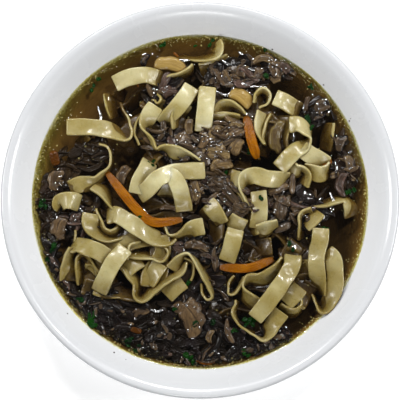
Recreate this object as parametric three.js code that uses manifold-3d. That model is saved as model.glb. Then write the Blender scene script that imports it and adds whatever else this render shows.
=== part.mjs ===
/**
 * Bowl of mushroom noodle soup: a white soup plate with brown broth, a heap of broad flat
 * noodles, chopped mushrooms, carrot sticks and flakes of green herb.
 *
 * Millimetres, +Z up. The origin is the centre of the foot, on the table. +Y is the far side.
 */
import * as THREE from 'three';
import { mergeVertices } from 'three/addons/utils/BufferGeometryUtils.js';
import Module from 'manifold-3d';

// ---------------------------------------------------------------- driving dimensions

/** Clear space between two nodes that touch. */
const GAP = 0.3;

/** The shortest edge: corners closer than this become one. */
const FINEST = 0.02;

/** A triangle that is lower than this is a needle. */
const NEEDLE = 0.005;

/** Corners closer than this are the same one, in a geometry that is about to be a solid. */
const SAME_CORNER = 1e-5;

/** The plate: its inner wall is an ellipse below the broth and a flared rim above it. */
const PLATE = {
  radius: 100,
  sides: 40,
  floorRadius: 42,
  floorHeight: 6.5,
  wall: 4.2,
  wallTurn: THREE.MathUtils.degToRad(68),
  wallSteps: 4,
  rimSteps: 3,
  lipRadius: 1.75,
  lipHeight: 37,
  lipSteps: 4,
  footInner: 46,
  footOuter: 50,
  footBevel: 0.6,
};

/** The broth's free surface. */
const BROTH = { radius: 85, level: 25.5 };

/** A broad flat noodle. */
const NOODLE = { width: 8.6, thickness: 1.8, sharpBend: THREE.MathUtils.degToRad(50), shortestStep: 0.2 };

/** The tangle of noodles under the ones that show. */
const CORE = {
  radius: 67,
  waviness: 2.5,
  waves: 5,
  broadWaves: 3,
  broadShare: 0.5,
  phase: 1,
  sides: 24,
  lift: 0.7,
  relief: 0.3,
  swell: 7,
  bottomRadius: 40,
  bottomHeight: 10,
  shoulderHeight: 20,
  blockHeight: 55.5,
  cell: 10,
  shelf: 2.4,
  slope: 1.5,
  bite: 0.5,
  steepestTilt: 50,
};

/** How far the food lies towards the far side of the plate. */
const FOOD_OFFSET_Y = 1;

/** What the unevenness of the first mushroom piece grows from. */
const SEED = 20;

const COLOURS = {
  china: 0xe9ebee,
  broth: 0x4b371c,
  noodle: 0xcfc7a0,
  carrot: 0xb4601e,
  tan: 0x9c8159,
  brown: 0x6b5138,
  dark: 0x3a2c22,
  purple: 0x4a3d40,
  olive: 0x6d6337,
};

/**
 * The noodles that show. Each station is [x, y, top, tilt]: millimetres from the middle of
 * the food, millimetres from the broth up to the noodle's higher edge, and the tilt of its
 * width in degrees, where 0 lies flat and 90 stands on edge.
 */
const NOODLES = {
  left_strip: [[-68, 36.5, 0.8, 0], [-58, 36.5, 2, 0], [-49, 35.5, 2.5, -8], [-42.5, 33.3, 3.5, -35],
    [-37, 30.5, 4, -75], [-35, 34.5, 2.5, -90], [-37.5, 41.5, 1, -85]],
  upper_left_stub: [[-46.5, 54, 0.8, -45], [-45.5, 48, 1.4, -50], [-44, 41.5, 0.4, -60]],
  top_left_hump: [[-43.5, 58.5, 2.5, 0], [-38, 61, 4, 0], [-32.5, 62.5, 4.2, 5], [-26.5, 63, 3, 0],
    [-20, 61.5, -1, 0]],
  top_hook: [[8.5, 80, 4, 65], [9, 77, 5, 50], [8, 73.5, 4.5, 52], [3.5, 72.5, 3, 58], [-1.5, 72.5, 1.5, 58],
    [-6.5, 73.5, 0, 60]],
  top_edge_strip: [[-17, 61, 1.5, 70], [-11, 62.5, 2.5, 70], [-6, 65, 3, 70], [-3.5, 67, 2, 70]],
  top_wet_strip: [[0, 66, 1, 30], [7.5, 68, 1.5, 30], [15, 71, 1, 30]],
  upper_diagonal: [[-4, 57, 4, 0], [-8, 50.5, 6, -5], [-13.5, 44, 5.5, -15], [-20.5, 39, 3.5, -62]],
  upper_fold: [[-6, 44, 3.5, -45], [-9.5, 45.5, 4.5, -45], [-12, 42, 4, -45], [-11.5, 36.5, 2, -45]],
  upper_upright: [[4, 56.5, 5.5, 0], [3, 47.5, 7, 0], [2, 38.5, 5.5, 0], [1.5, 34, 2.5, 0]],
  small_hook: [[-24.5, 48, 1, 50], [-21, 47, 2.5, 55], [-18.5, 50, 3, 60], [-19.5, 54.5, 0.5, 60]],
  thin_edge: [[-30.5, 43.5, 1.5, 82], [-33, 38, 2, 82], [-33.5, 33, 2, 82], [-31.5, 27.5, 1, 82]],
  long_twist: [[-22.5, 47, 5, 0], [-26, 41.5, 5, -12], [-28, 36.5, 5, -60], [-26.5, 30.5, 4.5, -118],
    [-24, 25.5, 4, -110], [-21.5, 24.5, 4, -100], [-18.5, 25, 5, -115], [-13.5, 23.5, 6, -140],
    [-7, 21.5, 5, -122], [-0.5, 19, 3.5, -95]],
  left_s_curve: [[-50, 28, 1.5, -80], [-46.3, 25.5, 3, -85], [-45, 20.5, 3.5, -85], [-46.3, 15, 3.5, -75],
    [-51.5, 9, 3.5, -55], [-56, 7.5, 3, -30], [-61, 7, 2, -10], [-66, 5, 0, 0]],
  left_curl: [[-61, -2.5, 1.5, 0], [-65, -1.5, 5, 0], [-68.5, -1.5, 4.5, 0], [-71, -2.5, 2, 0]],
  left_arc: [[-53.5, 7, 3, -35], [-49.5, 4, 4, -45], [-46.5, -0.5, 4, -65], [-44.5, -5, 3, -85]],
  left_loop: [[-55, -8, 4, -5], [-55.5, -12.5, 5, -15], [-53, -17, 4.5, -35], [-48, -20, 4, -55],
    [-42.5, -20, 3, -65], [-37.5, -18, 1.5, -60]],
  left_loop_inner: [[-53.5, -6.5, 3, 70], [-51.5, -11, 4, 75], [-49.5, -15.5, 4, 70], [-45.5, -18.5, 4, 55],
    [-41, -16.5, 3.5, 65], [-39.5, -13, 2, 75]],
  long_band: [[-47, -9.5, 3, -30], [-43, -8.5, 5, -15], [-37, -11.5, 6, -8], [-30.5, -16, 6, -10],
    [-23.5, -20, 5, -20], [-17.5, -21.5, 4, -40], [-13.5, -20, 2.5, -70]],
  bow_tie: [[-18.5, -15, 3, 80], [-16, -19, 3.5, 80], [-12, -20, 3.5, 70], [-8, -18.5, 4, 50],
    [-3.5, -15.5, 5, 20], [2, -14.5, 5, 0]],
  low_band: [[-49, -26.5, 1, 0], [-41.5, -25, 1.5, 0], [-33.5, -21.5, 2, 0], [-25, -20, 1, 0]],
  fold_over: [[-65, -25, 5.5, -60], [-61.5, -24, 7, -35], [-56.5, -25.5, 7.5, -8], [-51, -27.5, 6.5, 0],
    [-45.5, -31, 4.5, 0]],
  fold_left_leg: [[-67, -42, 1, 15], [-66.5, -35, 3, 30], [-65.5, -29.5, 5, 55], [-63.5, -25, 6.5, 65]],
  fold_inner: [[-59.5, -43, 1, 55], [-60.5, -37, 3, 60], [-61, -31, 4, 70], [-58.5, -29, 4.5, 80],
    [-55, -33, 4, 80], [-51, -39.5, 3, 75]],
  front_diagonal: [[-37.5, -25.5, 6, 10], [-43.5, -33, 7.5, 0], [-47.5, -40.5, 6, 0], [-51, -47.5, 1.5, 0]],
  scallop_top: [[-35.5, -28.5, 3.5, -65], [-29, -29, 4.5, -60], [-23.5, -30, 4.5, -65], [-19, -31, 4.5, -75],
    [-16.5, -28, 4, -85], [-19, -25, 3, -80], [-24, -25, 2, -70]],
  scallop_corner: [[-36, -31, 4.5, 80], [-36, -27.5, 5, 85], [-34.5, -25, 4.5, 70], [-30, -24, 3.5, 60]],
  scallop_tongue: [[-38.5, -34, 3, -50], [-35, -38, 4.5, -55], [-31.5, -43.5, 4.5, -60], [-32, -49.5, 4.5, -70],
    [-29, -51, 5, -65], [-23.5, -46, 5.5, -58], [-16.5, -41, 5, -55], [-10.5, -37, 4.5, -60],
    [-8, -32.5, 3.5, -70]],
  scallop_panel: [[-20, -33, 3, 0], [-23, -38, 4, 20], [-26, -44, 3.5, 50]],
  arch: [[-14, -36.5, 3.5, 25], [-10.5, -32, 5, 50], [-6.5, -28.5, 6, 85], [-2.5, -31, 6, 105],
    [1.5, -37.5, 5.5, 115], [5.5, -45, 5, 115], [6.5, -50, 4.5, 95], [4, -51.5, 4, 85], [2, -48.5, 3, 80],
    [2, -44, 2, 75]],
  grey_flap: [[-8.5, -42, 1.5, 0], [-12.5, -45, 2, 0], [-17, -49.5, 1, 0]],
  knot_over: [[2.5, 14, 3, 0], [-5, 13.5, 5, 0], [-13.5, 12.5, 7, 0], [-21, 9.5, 8, 0], [-26.5, 4, 6, 0],
    [-31, 1, 3, 0]],
  knot_flap: [[-32, 2, 4, 0], [-30.5, 8.5, 6, 15], [-27, 15, 5.5, 15], [-25.5, 18.5, 3, 15]],
  knot_arch: [[-17.5, 11, 5.5, 0], [-13.5, 10, 8, 0], [-10.5, 5, 7.5, 0], [-8.5, -2.5, 3.5, 0],
    [-8, -6.5, 1, 0]],
  knot_tuck: [[-20, 5, 5, 30], [-16, 3, 4, 40], [-13, 0.5, 3, 60]],
  right_wave: [[45.5, 11, 4, -70], [41, 9.5, 5, -25], [34, 9.5, 6.5, -5], [27.5, 11, 7.5, -8],
    [23, 9.5, 7, -35], [21.5, 5, 6, -65], [23.5, 0, 4.5, -78], [25.5, -4.5, 2, -80]],
  right_wave_flap: [[19, 14, 4, 30], [17, 10, 4.5, 40], [15.5, 5.5, 3, 45]],
  right_upright: [[29.5, 3.5, 5, 15], [30, -2.5, 5.5, 20], [30, -9, 4.5, 15], [29, -15.5, 3, 15]],
  right_roll: [[45.5, 37.5, 3, -5], [50, 37.5, 6, -20], [54, 34.5, 7.5, -50], [56, 30.5, 7, -90],
    [53, 26.5, 6, -140], [48.5, 24, 6, -165], [44.5, 20, 5.5, -170], [40, 15, 4.5, -160]],
  upper_right_stub: [[38, 51.5, 4.5, -10], [42.5, 49.5, 4.5, -10], [47, 47, 2, -8], [51, 45, -1.5, 0]],
  little_ring: [[28.5, 49.5, 3.5, 75], [29, 53, 4.5, 75], [32, 55, 5, 75], [34.8, 52.5, 5, 75],
    [34, 49, 4.5, 75], [31, 47.5, 3, 75]],
  right_blade: [[32, 44, 4, -35], [31, 39, 5, -45], [31, 33.5, 4.5, -60], [33, 28, 3.5, -80]],
  centre_top_curl: [[9.5, 43.5, 2, 30], [11, 46.5, 3, 45], [15, 47.5, 4, 60], [19, 46, 3.5, 70],
    [21.5, 43.5, 2, 70]],
  cone_back: [[51.5, 25, 5, 0], [55.5, 22, 5.5, 10], [60, 20, 5, 20], [64.5, 17.5, 4, 40]],
  cone_front: [[52.5, 15.5, 4, 60], [56.5, 13.5, 4.5, 35], [61, 12, 5, 25], [64.5, 14.5, 4.5, 60],
    [66, 17.5, 4, 80]],
  right_curl: [[45, 15, 4, 30], [49, 14, 5, 40], [52, 14.5, 5, 70], [54, 11.5, 4.5, 60], [52.5, 7, 2.5, 40]],
  right_edge_strip: [[58, -3.5, 2, -75], [63.5, -2.5, 3, -65], [69, -0.5, 3.5, -60], [74, -0.5, 4, -60],
    [76, -4, 3.5, -40], [77, -9, 0.5, -20]],
  right_fold_leg: [[52, -20, 0.5, 60], [51.5, -14, 3, 62], [52, -8.5, 4.5, 65], [57, -6.5, 5, 60]],
  right_fold_tip: [[60.5, -7, 4.5, 40], [57, -10.5, 5, 35], [53.5, -14.5, 3.5, 45]],
  right_long_inner: [[61, -15.5, 4, 0], [60.5, -21.5, 5, 5], [59, -27.5, 5, 15], [58.5, -34, 5.5, 10],
    [59.5, -41, 4.5, 30], [61.5, -49, 2, 70]],
  right_long_outer: [[64, -27, 4, 30], [67, -31, 5, 10], [68, -38, 4, 10], [68, -45, 4, 15],
    [65.5, -51.5, 4.2, 30], [62, -56.5, 3.6, 60], [59, -53, 2.6, 75], [58, -49.5, 1, 75]],
  lower_diagonal: [[47, -29, 2, 0], [46, -35, 5.5, 0], [40.5, -44, 7.5, 0], [34, -53, 7.5, 0],
    [27.5, -61, 4, 0]],
  lower_loop: [[42, -31, 4, -75], [38.5, -36.5, 5, -50], [31.5, -41, 5, -40], [25, -41.5, 5, -55],
    [21.5, -45, 5, -90], [23.5, -50, 5, -130], [28, -53.5, 4.5, -140], [33, -56, 3, -140]],
  bottom_arc: [[19, -52, 3, -70], [17.5, -58, 3.5, -78], [20, -64, 4, -80], [25.5, -67.5, 4, -80],
    [31, -71, 4, -80], [34, -68.5, 4.5, -50], [37, -63, 5, -15], [41, -57.5, 4.5, 0]],
  lower_panel: [[50.5, -45, 1, 0], [47, -49.5, 3, 0], [43, -53.5, 3, 0]],
  lower_cup: [[39.5, -55, 4, 60], [44, -57.5, 4, 60], [48.5, -58, 4, 65], [51.5, -55, 3.5, 75],
    [52, -51.5, 2, 75]],
  centre_strip: [[18, -16, 4.5, 0], [17, -20, 6, 0], [15.5, -26, 5, 0], [13.5, -32, 2.5, 0]],
  centre_flag: [[4, -2.5, 4, 20], [7.5, -7, 5.5, 25], [11.5, -13, 4, 40]],
  centre_wedge: [[14.5, -10, 5, 50], [18, -13, 5, 30], [22.5, -15, 4, 30]],
  centre_tip: [[29, -16.5, 4.5, 45], [34, -15.5, 5.5, 45], [39.5, -13.5, 5, 55]],
};

/** A carrot stick's cross section has six corners, and its ends are a little narrower. */
const CARROT = { corner: 0.62, endWidth: 0.8, stepsPerStretch: 2 };

/** Carrot sticks: the stick's middle line as [x, y, top], its width and its depth. */
const CARROTS = {
  carrot_long: { line: [[-47.5, 13.5, 2.5], [-39, 2.5, 4.5], [-30, -8, 5], [-22.5, -12.5, 4.5], [-9, -11, 3]],
    width: 6, depth: 4.5 },
  carrot_upper: { line: [[23.5, 42, 2.5], [26, 30, 4.5], [29, 20, 4]], width: 6.2, depth: 5 },
  carrot_lower: { line: [[10, -35, 2.5], [24, -35.5, 3.6], [37, -31, 2.5]], width: 5.6, depth: 4.5 },
  carrot_left: { line: [[-75, 24.5, 0.6], [-73, 17, 0.8]], width: 5.5, depth: 4 },
  carrot_right: { line: [[61.5, 18.2, 2.2], [67, 19.2, 2.4]], width: 4.4, depth: 3.6 },
  carrot_front: { line: [[-35, -66, 0.8], [-29.5, -67.5, 0.8]], width: 3.6, depth: 3 },
};

/** A mushroom piece is a squared sphere whose corners lie unevenly far out. */
const MUSHROOM = { columns: 6, rows: 4, leastReach: 0.86, unevenness: 0.16, squareness: 0.7, sameCorner: 1e-4 };

/**
 * Mushroom pieces: [x, y, top, length, width, depth, turn in degrees, bend, colour]. The bend
 * is how far the middle of a piece bows sideways, as a share of its length.
 */
const MUSHROOMS = {
  bean: [-15, 68.5, 2, 18, 8.4, 5, -10, 0.1, 'tan'],
  far_sliver: [-28, 71.5, 1, 8, 4.4, 4, 65, 0.1, 'dark'],
  gills_far: [-15.5, 54.5, 1.6, 10, 8, 5, 20, 0.2, 'purple'],
  cap_far: [10.5, 60, 1.6, 12, 7.5, 5, 5, 0.12, 'dark'],
  slice_far_a: [21.5, 65.5, 2.2, 9, 7, 5, 70, 0.12, 'brown'],
  slice_far_b: [29.5, 62, 1.8, 8, 6, 5, 60, 0.1, 'brown'],
  curly_far: [33, 70.5, 2.4, 13, 5, 4.4, -6, 0.25, 'tan'],
  edge_far: [43, 67, 1.8, 8, 6, 4.4, -40, 0.1, 'purple'],
  knob_far: [38.5, 61.5, 2, 7, 5.6, 4.4, 20, 0, 'tan'],
  slab: [21, 51.5, 2.6, 14, 8.5, 5, -34, 0.12, 'brown'],
  narrow_slice: [54.5, 48, 2, 10, 3.6, 4.4, 84, 0.05, 'brown'],
  edge_upper_right: [62, 47, 1.8, 9, 8, 4.8, 30, 0.1, 'dark'],
  edge_right_a: [71.5, 28.5, 1.4, 11, 7, 4.4, 62, 0.1, 'dark'],
  edge_right_b: [76, 18, 1.4, 12, 5.4, 4.4, -62, 0.12, 'tan'],
  curly_right: [72.5, 7.5, 3, 15, 5.6, 5, 80, 0.25, 'purple'],
  olive_slice: [39.5, 31.5, 3, 19, 7.6, 5, 82, 0.16, 'olive'],
  chunk_centre_a: [18.5, 26.5, 4, 10, 8, 5.6, 60, 0.1, 'tan'],
  chunk_centre_b: [10.5, 17, 4, 12.5, 7.6, 5.6, 15, 0.1, 'tan'],
  chopped_a: [9.5, 27.5, 3.4, 9, 6.4, 5, -20, 0.12, 'dark'],
  chopped_b: [13.5, 34.5, 3, 11, 5.6, 5, 24, 0.2, 'brown'],
  chunk_upper: [-5.5, 36.5, 2.4, 9.5, 5.6, 5, 86, 0.05, 'tan'],
  dark_strip: [13.5, 3, 4, 22, 5.4, 5, -47, 0.04, 'dark'],
  stem: [-2.6, 4.2, 3.6, 12, 6, 5, -78, 0.04, 'tan'],
  red_strip: [-16, -5, 2.6, 10, 3.6, 4, -4, 0.1, 'brown'],
  lower_slice: [-1.5, -24.5, 2.4, 15, 6, 5, -8, 0.12, 'brown'],
  tan_corner: [-39, 11.5, 3.4, 12, 7, 5, 66, 0.12, 'tan'],
  left_slice: [-73, 9.5, 1.6, 13, 9.4, 4.6, 78, 0.14, 'brown'],
  left_ring_slice: [-71, -15.5, 2.6, 13, 9, 5, 80, 0.16, 'tan'],
  left_purple: [-63, -10.5, 2, 8.6, 6.4, 5, 70, 0.1, 'purple'],
  right_dark: [41.5, -5, 3.4, 14, 8.6, 5.6, 75, 0.1, 'dark'],
  front_cap: [-5, -60, 2.2, 22, 15, 5.6, -58, 0.14, 'brown'],
  front_frill: [5.2, -70, 1.8, 8, 4, 4, 75, 0.2, 'tan'],
  front_chip_a: [-48, -56, 1, 13, 8, 4.6, -24, 0.12, 'dark'],
  front_chip_b: [-30, -58, 1.2, 12, 7.4, 4.6, 28, 0.12, 'brown'],
  front_chip_c: [-18, -70, 1, 13, 8, 4.6, -12, 0.16, 'dark'],
  front_curl: [-29, -75.5, 1, 8.6, 4.4, 4, 50, 0.25, 'tan'],
  front_chip_d: [24, -77, 1, 11, 5.4, 4.4, 6, 0.12, 'dark'],
  front_chip_e: [42.5, -69.5, 1.4, 8.6, 6, 4.4, -30, 0.1, 'purple'],
};

/** A flake of herb lying on the broth: its sizes and how far it stands out of the broth. */
const HERB = { length: 5, width: 3, depth: 1.2, show: 0.55, columns: 5, rows: 3 };

/** The flakes of herb as [x, y, turn in degrees]. */
const HERBS = [[-51.5, 62, 30], [-54, 56.5, 70], [-19, 79, 20], [33.5, 77, 10], [56, 57.5, 55],
  [-79.5, -2.5, 88], [-74.5, -25, 60], [-60, -52.5, -40], [-54, -63, -50], [-37, -73, 20],
  [27, -62.5, 80], [75, 3.5, 70], [-7, -80.5, -5]];

// ---------------------------------------------------------------- joining and cutting

const wasm = await Module();
wasm.setup();

/** Turns a closed geometry into a solid that can be joined and cut. */
function solid(geometry) {
  const bare = geometry.clone();
  bare.deleteAttribute('normal');
  bare.deleteAttribute('uv');
  const merged = mergeVertices(bare, SAME_CORNER);
  return new wasm.Manifold(new wasm.Mesh({
    numProp: 3,
    vertProperties: new Float32Array(merged.attributes.position.array),
    triVerts: new Uint32Array(realTriangles(merged.index.array)),
  }));
}

/** The triangles of an index that have three corners and no twin that faces the other way. */
function realTriangles(index) {
  const byCorners = new Map();
  for (let i = 0; i < index.length; i += 3) {
    const corners = Array.from(index.slice(i, i + 3));
    if (new Set(corners).size === 3) {
      const key = [...corners].sort((a, b) => a - b).join();
      byCorners.set(key, [...(byCorners.get(key) ?? []), corners]);
    }
  }
  return [...byCorners.values()].filter((twins) => twins.length === 1).flat(2);
}

/** Turns a solid back into a geometry with flat faces. */
function geometryOf(shape) {
  const { vertProperties, triVerts } = shape.getMesh();
  const geometry = new THREE.BufferGeometry();
  geometry.setAttribute('position', new THREE.BufferAttribute(vertProperties, 3));
  geometry.setIndex(new THREE.BufferAttribute(triVerts, 1));
  geometry.computeVertexNormals();
  return geometry;
}

/** Makes the two ends of each edge shorter than the finest one the same corner. */
function weldShortEdges(geometry) {
  const place = geometry.attributes.position;
  const index = geometry.index.array;
  const corner = (id) => new THREE.Vector3().fromBufferAttribute(place, id);
  const same = Array.from({ length: place.count }, (_, id) => id);
  const root = (id) => (same[id] === id ? id : root(same[id]));
  for (let i = 0; i < index.length; i += 1) {
    const [from, to] = [index[i], index[i - (i % 3) + ((i + 1) % 3)]];
    if (corner(from).distanceTo(corner(to)) < FINEST) {
      same[root(to)] = root(from);
    }
  }
  const welded = geometry.clone();
  welded.setIndex(realTriangles(index.map(root)));
  return welded;
}

/** How far the flattest corner of a triangle stands off the opposite edge. */
function triangleHeight(a, b, c) {
  const longest = Math.max(a.distanceTo(b), b.distanceTo(c), c.distanceTo(a));
  return (2 * new THREE.Triangle(a, b, c).getArea()) / longest;
}

/**
 * Turns the longest edge of each needle-thin triangle, so that it and its neighbour become two
 * sounder triangles on the same four corners.
 */
function turnNeedles(geometry) {
  const place = geometry.attributes.position;
  const index = geometry.index.array;
  const corner = (id) => new THREE.Vector3().fromBufferAttribute(place, id);
  const height = (ids) => triangleHeight(...ids.map(corner));
  const owner = new Map();
  const claim = (face) => [0, 1, 2].forEach((i) => (
    owner.set(`${index[face + i]},${index[face + ((i + 1) % 3)]}`, face)));
  for (let face = 0; face < index.length; face += 3) {
    claim(face);
  }
  for (let face = 0; face < index.length; face += 3) {
    const ids = Array.from(index.slice(face, face + 3));
    const lengths = ids.map((id, i) => corner(id).distanceTo(corner(ids[(i + 1) % 3])));
    const at = lengths.indexOf(Math.max(...lengths));
    const [from, to, apex] = [ids[at], ids[(at + 1) % 3], ids[(at + 2) % 3]];
    const other = owner.get(`${to},${from}`);
    const theirs = Array.from(index.slice(other, other + 3));
    const far = theirs.find((id) => id !== to && id !== from);
    const better = Math.min(height([apex, from, far]), height([far, to, apex]));
    const joined = owner.has(`${apex},${far}`) || owner.has(`${far},${apex}`);
    if (height(ids) < NEEDLE && better > height(ids) && !joined) {
      index.set([apex, from, far], face);
      index.set([far, to, apex], other);
      owner.delete(`${from},${to}`);
      owner.delete(`${to},${from}`);
      claim(face);
      claim(other);
    }
  }
  return geometry;
}

/** Joins solids two by two, so that each join stays small. */
function join(shapes) {
  let pending = shapes;
  while (pending.length > 1) {
    const next = [];
    for (let i = 0; i < pending.length; i += 2) {
      next.push(i + 1 < pending.length ? pending[i].add(pending[i + 1]) : pending[i]);
    }
    pending = next;
  }
  return pending[0];
}

/** The largest body of a solid: scraps are dropped and sealed hollows are filled. */
function largestBody(shape) {
  return shape.decompose().reduce((best, body) => (body.volume() > best.volume() ? body : best));
}

/** Draws corners apart where a body only touches itself, by moving each a little way inwards. */
function partTouchingCorners(geometry) {
  const place = geometry.attributes.position;
  const normal = geometry.attributes.normal;
  const seen = new Map();
  for (let id = 0; id < place.count; id += 1) {
    const spot = [place.getX(id), place.getY(id), place.getZ(id)].map((value) => value.toFixed(3)).join();
    seen.set(spot, [...(seen.get(spot) ?? []), id]);
  }
  for (const ids of [...seen.values()].filter((twins) => twins.length > 1)) {
    for (const id of ids) {
      const inwards = new THREE.Vector3().fromBufferAttribute(normal, id).multiplyScalar(-FINEST);
      place.setXYZ(id, place.getX(id) + inwards.x, place.getY(id) + inwards.y, place.getZ(id) + inwards.z);
    }
  }
  return geometry;
}

/** One sound body from the result of joining and cutting. */
function soundBody(shape) {
  const welded = solid(turnNeedles(weldShortEdges(geometryOf(largestBody(shape)))));
  return solid(partTouchingCorners(geometryOf(largestBody(welded))));
}

/** Whether the boxes round two solids meet. */
function boxesMeet(a, b) {
  const one = a.boundingBox();
  const two = b.boundingBox();
  return [0, 1, 2].every((axis) => one.min[axis] < two.max[axis] && two.min[axis] < one.max[axis]);
}

// ---------------------------------------------------------------- shared shapes

/** A seeded source of numbers from 0 to 1. */
function seededRandom(seed) {
  let state = seed;
  return () => {
    state = (state + 0x6d2b79f5) | 0;
    let mixed = Math.imul(state ^ (state >>> 15), 1 | state);
    mixed = (mixed + Math.imul(mixed ^ (mixed >>> 7), 61 | mixed)) ^ mixed;
    return ((mixed ^ (mixed >>> 14)) >>> 0) / 4294967296;
  };
}

/** A lathe's geometry, turned so that its axis is +Z. */
function turned(profile, sides) {
  const geometry = new THREE.LatheGeometry(profile, sides);
  geometry.rotateX(Math.PI / 2);
  return geometry;
}

/** A closed geometry from rings of points: each ring is joined to the next, and both ends are shut. */
function loft(rings) {
  const sides = rings[0].length;
  const positions = rings.flat().flatMap((point) => point.toArray());
  const index = [];
  for (let ring = 0; ring + 1 < rings.length; ring += 1) {
    for (let side = 0; side < sides; side += 1) {
      const a = ring * sides + side;
      const b = ring * sides + ((side + 1) % sides);
      index.push(a, b, b + sides, a, b + sides, a + sides);
    }
  }
  const last = (rings.length - 1) * sides;
  for (let side = 1; side + 1 < sides; side += 1) {
    index.push(0, side + 1, side, last, last + side, last + side + 1);
  }
  const geometry = new THREE.BufferGeometry();
  geometry.setAttribute('position', new THREE.Float32BufferAttribute(positions, 3));
  geometry.setIndex(index);
  return geometry;
}

/** A solid from a geometry whose faces may all point inwards. */
function outwardSolid(geometry) {
  const first = solid(geometry);
  if (first.volume() > 0) {
    return first;
  }
  const flipped = geometry.clone();
  flipped.setIndex(Array.from(geometry.index.array).reverse());
  return solid(flipped);
}

// ---------------------------------------------------------------- the plate

/** The wall's rise from the floor to the broth: half axes of its ellipse. */
const WALL_REACH = (BROTH.radius - PLATE.floorRadius) / Math.sin(PLATE.wallTurn);
const WALL_RISE = (BROTH.level - PLATE.floorHeight) / (1 - Math.cos(PLATE.wallTurn));

/** The plate's inner wall from the floor's edge up to the lip, as [radius, height] points. */
function innerWall() {
  const points = [];
  for (let step = 0; step <= PLATE.wallSteps; step += 1) {
    const turn = (PLATE.wallTurn * step) / PLATE.wallSteps;
    points.push(new THREE.Vector2(
      PLATE.floorRadius + WALL_REACH * Math.sin(turn),
      PLATE.floorHeight + WALL_RISE * (1 - Math.cos(turn)),
    ));
  }
  const rimReach = PLATE.radius - 2 * PLATE.lipRadius - BROTH.radius;
  const rimRise = PLATE.lipHeight - BROTH.level;
  const flare = (WALL_RISE / WALL_REACH) * Math.tan(PLATE.wallTurn) * (rimReach / rimRise);
  for (let step = 1; step <= PLATE.rimSteps; step += 1) {
    const out = step / PLATE.rimSteps;
    points.push(new THREE.Vector2(
      BROTH.radius + rimReach * out,
      BROTH.level + rimRise * (1 - (1 - out) ** flare),
    ));
  }
  return points;
}

/** A line of profile points moved sideways, down and outwards where the distance is positive. */
function offsetProfile(points, distance) {
  return points.map((point, i) => {
    const before = points[Math.max(i - 1, 0)];
    const after = points[Math.min(i + 1, points.length - 1)];
    const along = after.clone().sub(before).normalize();
    return point.clone().add(new THREE.Vector2(along.y, -along.x).multiplyScalar(distance));
  });
}

/** The plate, turned from its profile: foot, outer wall, lip and inner wall. */
function plateSolid() {
  const inner = innerWall();
  const outer = offsetProfile(inner, PLATE.wall).filter((point) => (
    point.x > PLATE.footOuter + PLATE.footBevel && point.x < PLATE.radius - PLATE.lipRadius / 2
    && point.y < PLATE.lipHeight - PLATE.lipRadius));
  const underside = PLATE.floorHeight - PLATE.wall;
  const lip = [];
  for (let step = 0; step <= PLATE.lipSteps; step += 1) {
    const turn = (Math.PI * step) / PLATE.lipSteps;
    lip.push(new THREE.Vector2(
      PLATE.radius - PLATE.lipRadius + PLATE.lipRadius * Math.cos(turn),
      PLATE.lipHeight + PLATE.lipRadius * Math.sin(turn),
    ));
  }
  const profile = [
    new THREE.Vector2(0, underside),
    new THREE.Vector2(PLATE.footInner - PLATE.footBevel, underside),
    new THREE.Vector2(PLATE.footInner, 0),
    new THREE.Vector2(PLATE.footOuter, 0),
    new THREE.Vector2(PLATE.footOuter + PLATE.footBevel, underside),
    ...outer,
    ...lip,
    ...inner.slice(0, -1).reverse(),
    new THREE.Vector2(0, PLATE.floorHeight),
  ];
  return outwardSolid(turned(profile, PLATE.sides));
}

/** Everything inside the plate, a gap away from its wall, up to a height. */
function roomInPlate(top) {
  const wall = offsetProfile(innerWall(), -GAP);
  const above = wall.findIndex((point) => point.y > top);
  const below = wall[above - 1];
  const edge = below.clone().lerp(wall[above], (top - below.y) / (wall[above].y - below.y));
  const profile = [
    new THREE.Vector2(0, PLATE.floorHeight + GAP),
    ...wall.slice(0, above),
    edge,
    new THREE.Vector2(0, top),
  ];
  return outwardSolid(turned(profile, PLATE.sides));
}

// ---------------------------------------------------------------- the noodles

/** Where a noodle is cut into lengths, as shares of its route: at each station, and beside a sharp bend. */
function stepsAlong(stations) {
  const last = stations.length - 1;
  const bend = stations.map((station, i) => {
    if (i === 0 || i === last) {
      return 0;
    }
    const [before, here, after] = [i - 1, i, i + 1].map((at) => (
      new THREE.Vector2(stations[at][0], stations[at][1])));
    const turn = here.clone().sub(before).angleTo(after.sub(here));
    return Math.min(turn, 2 * Math.PI - turn);
  });
  const shares = [0];
  for (let i = 1; i <= last; i += 1) {
    if (Math.max(bend[i - 1], bend[i]) > NOODLE.sharpBend) {
      shares.push((i - 0.5) / last);
    }
    shares.push(i / last);
  }
  return shares;
}

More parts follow.
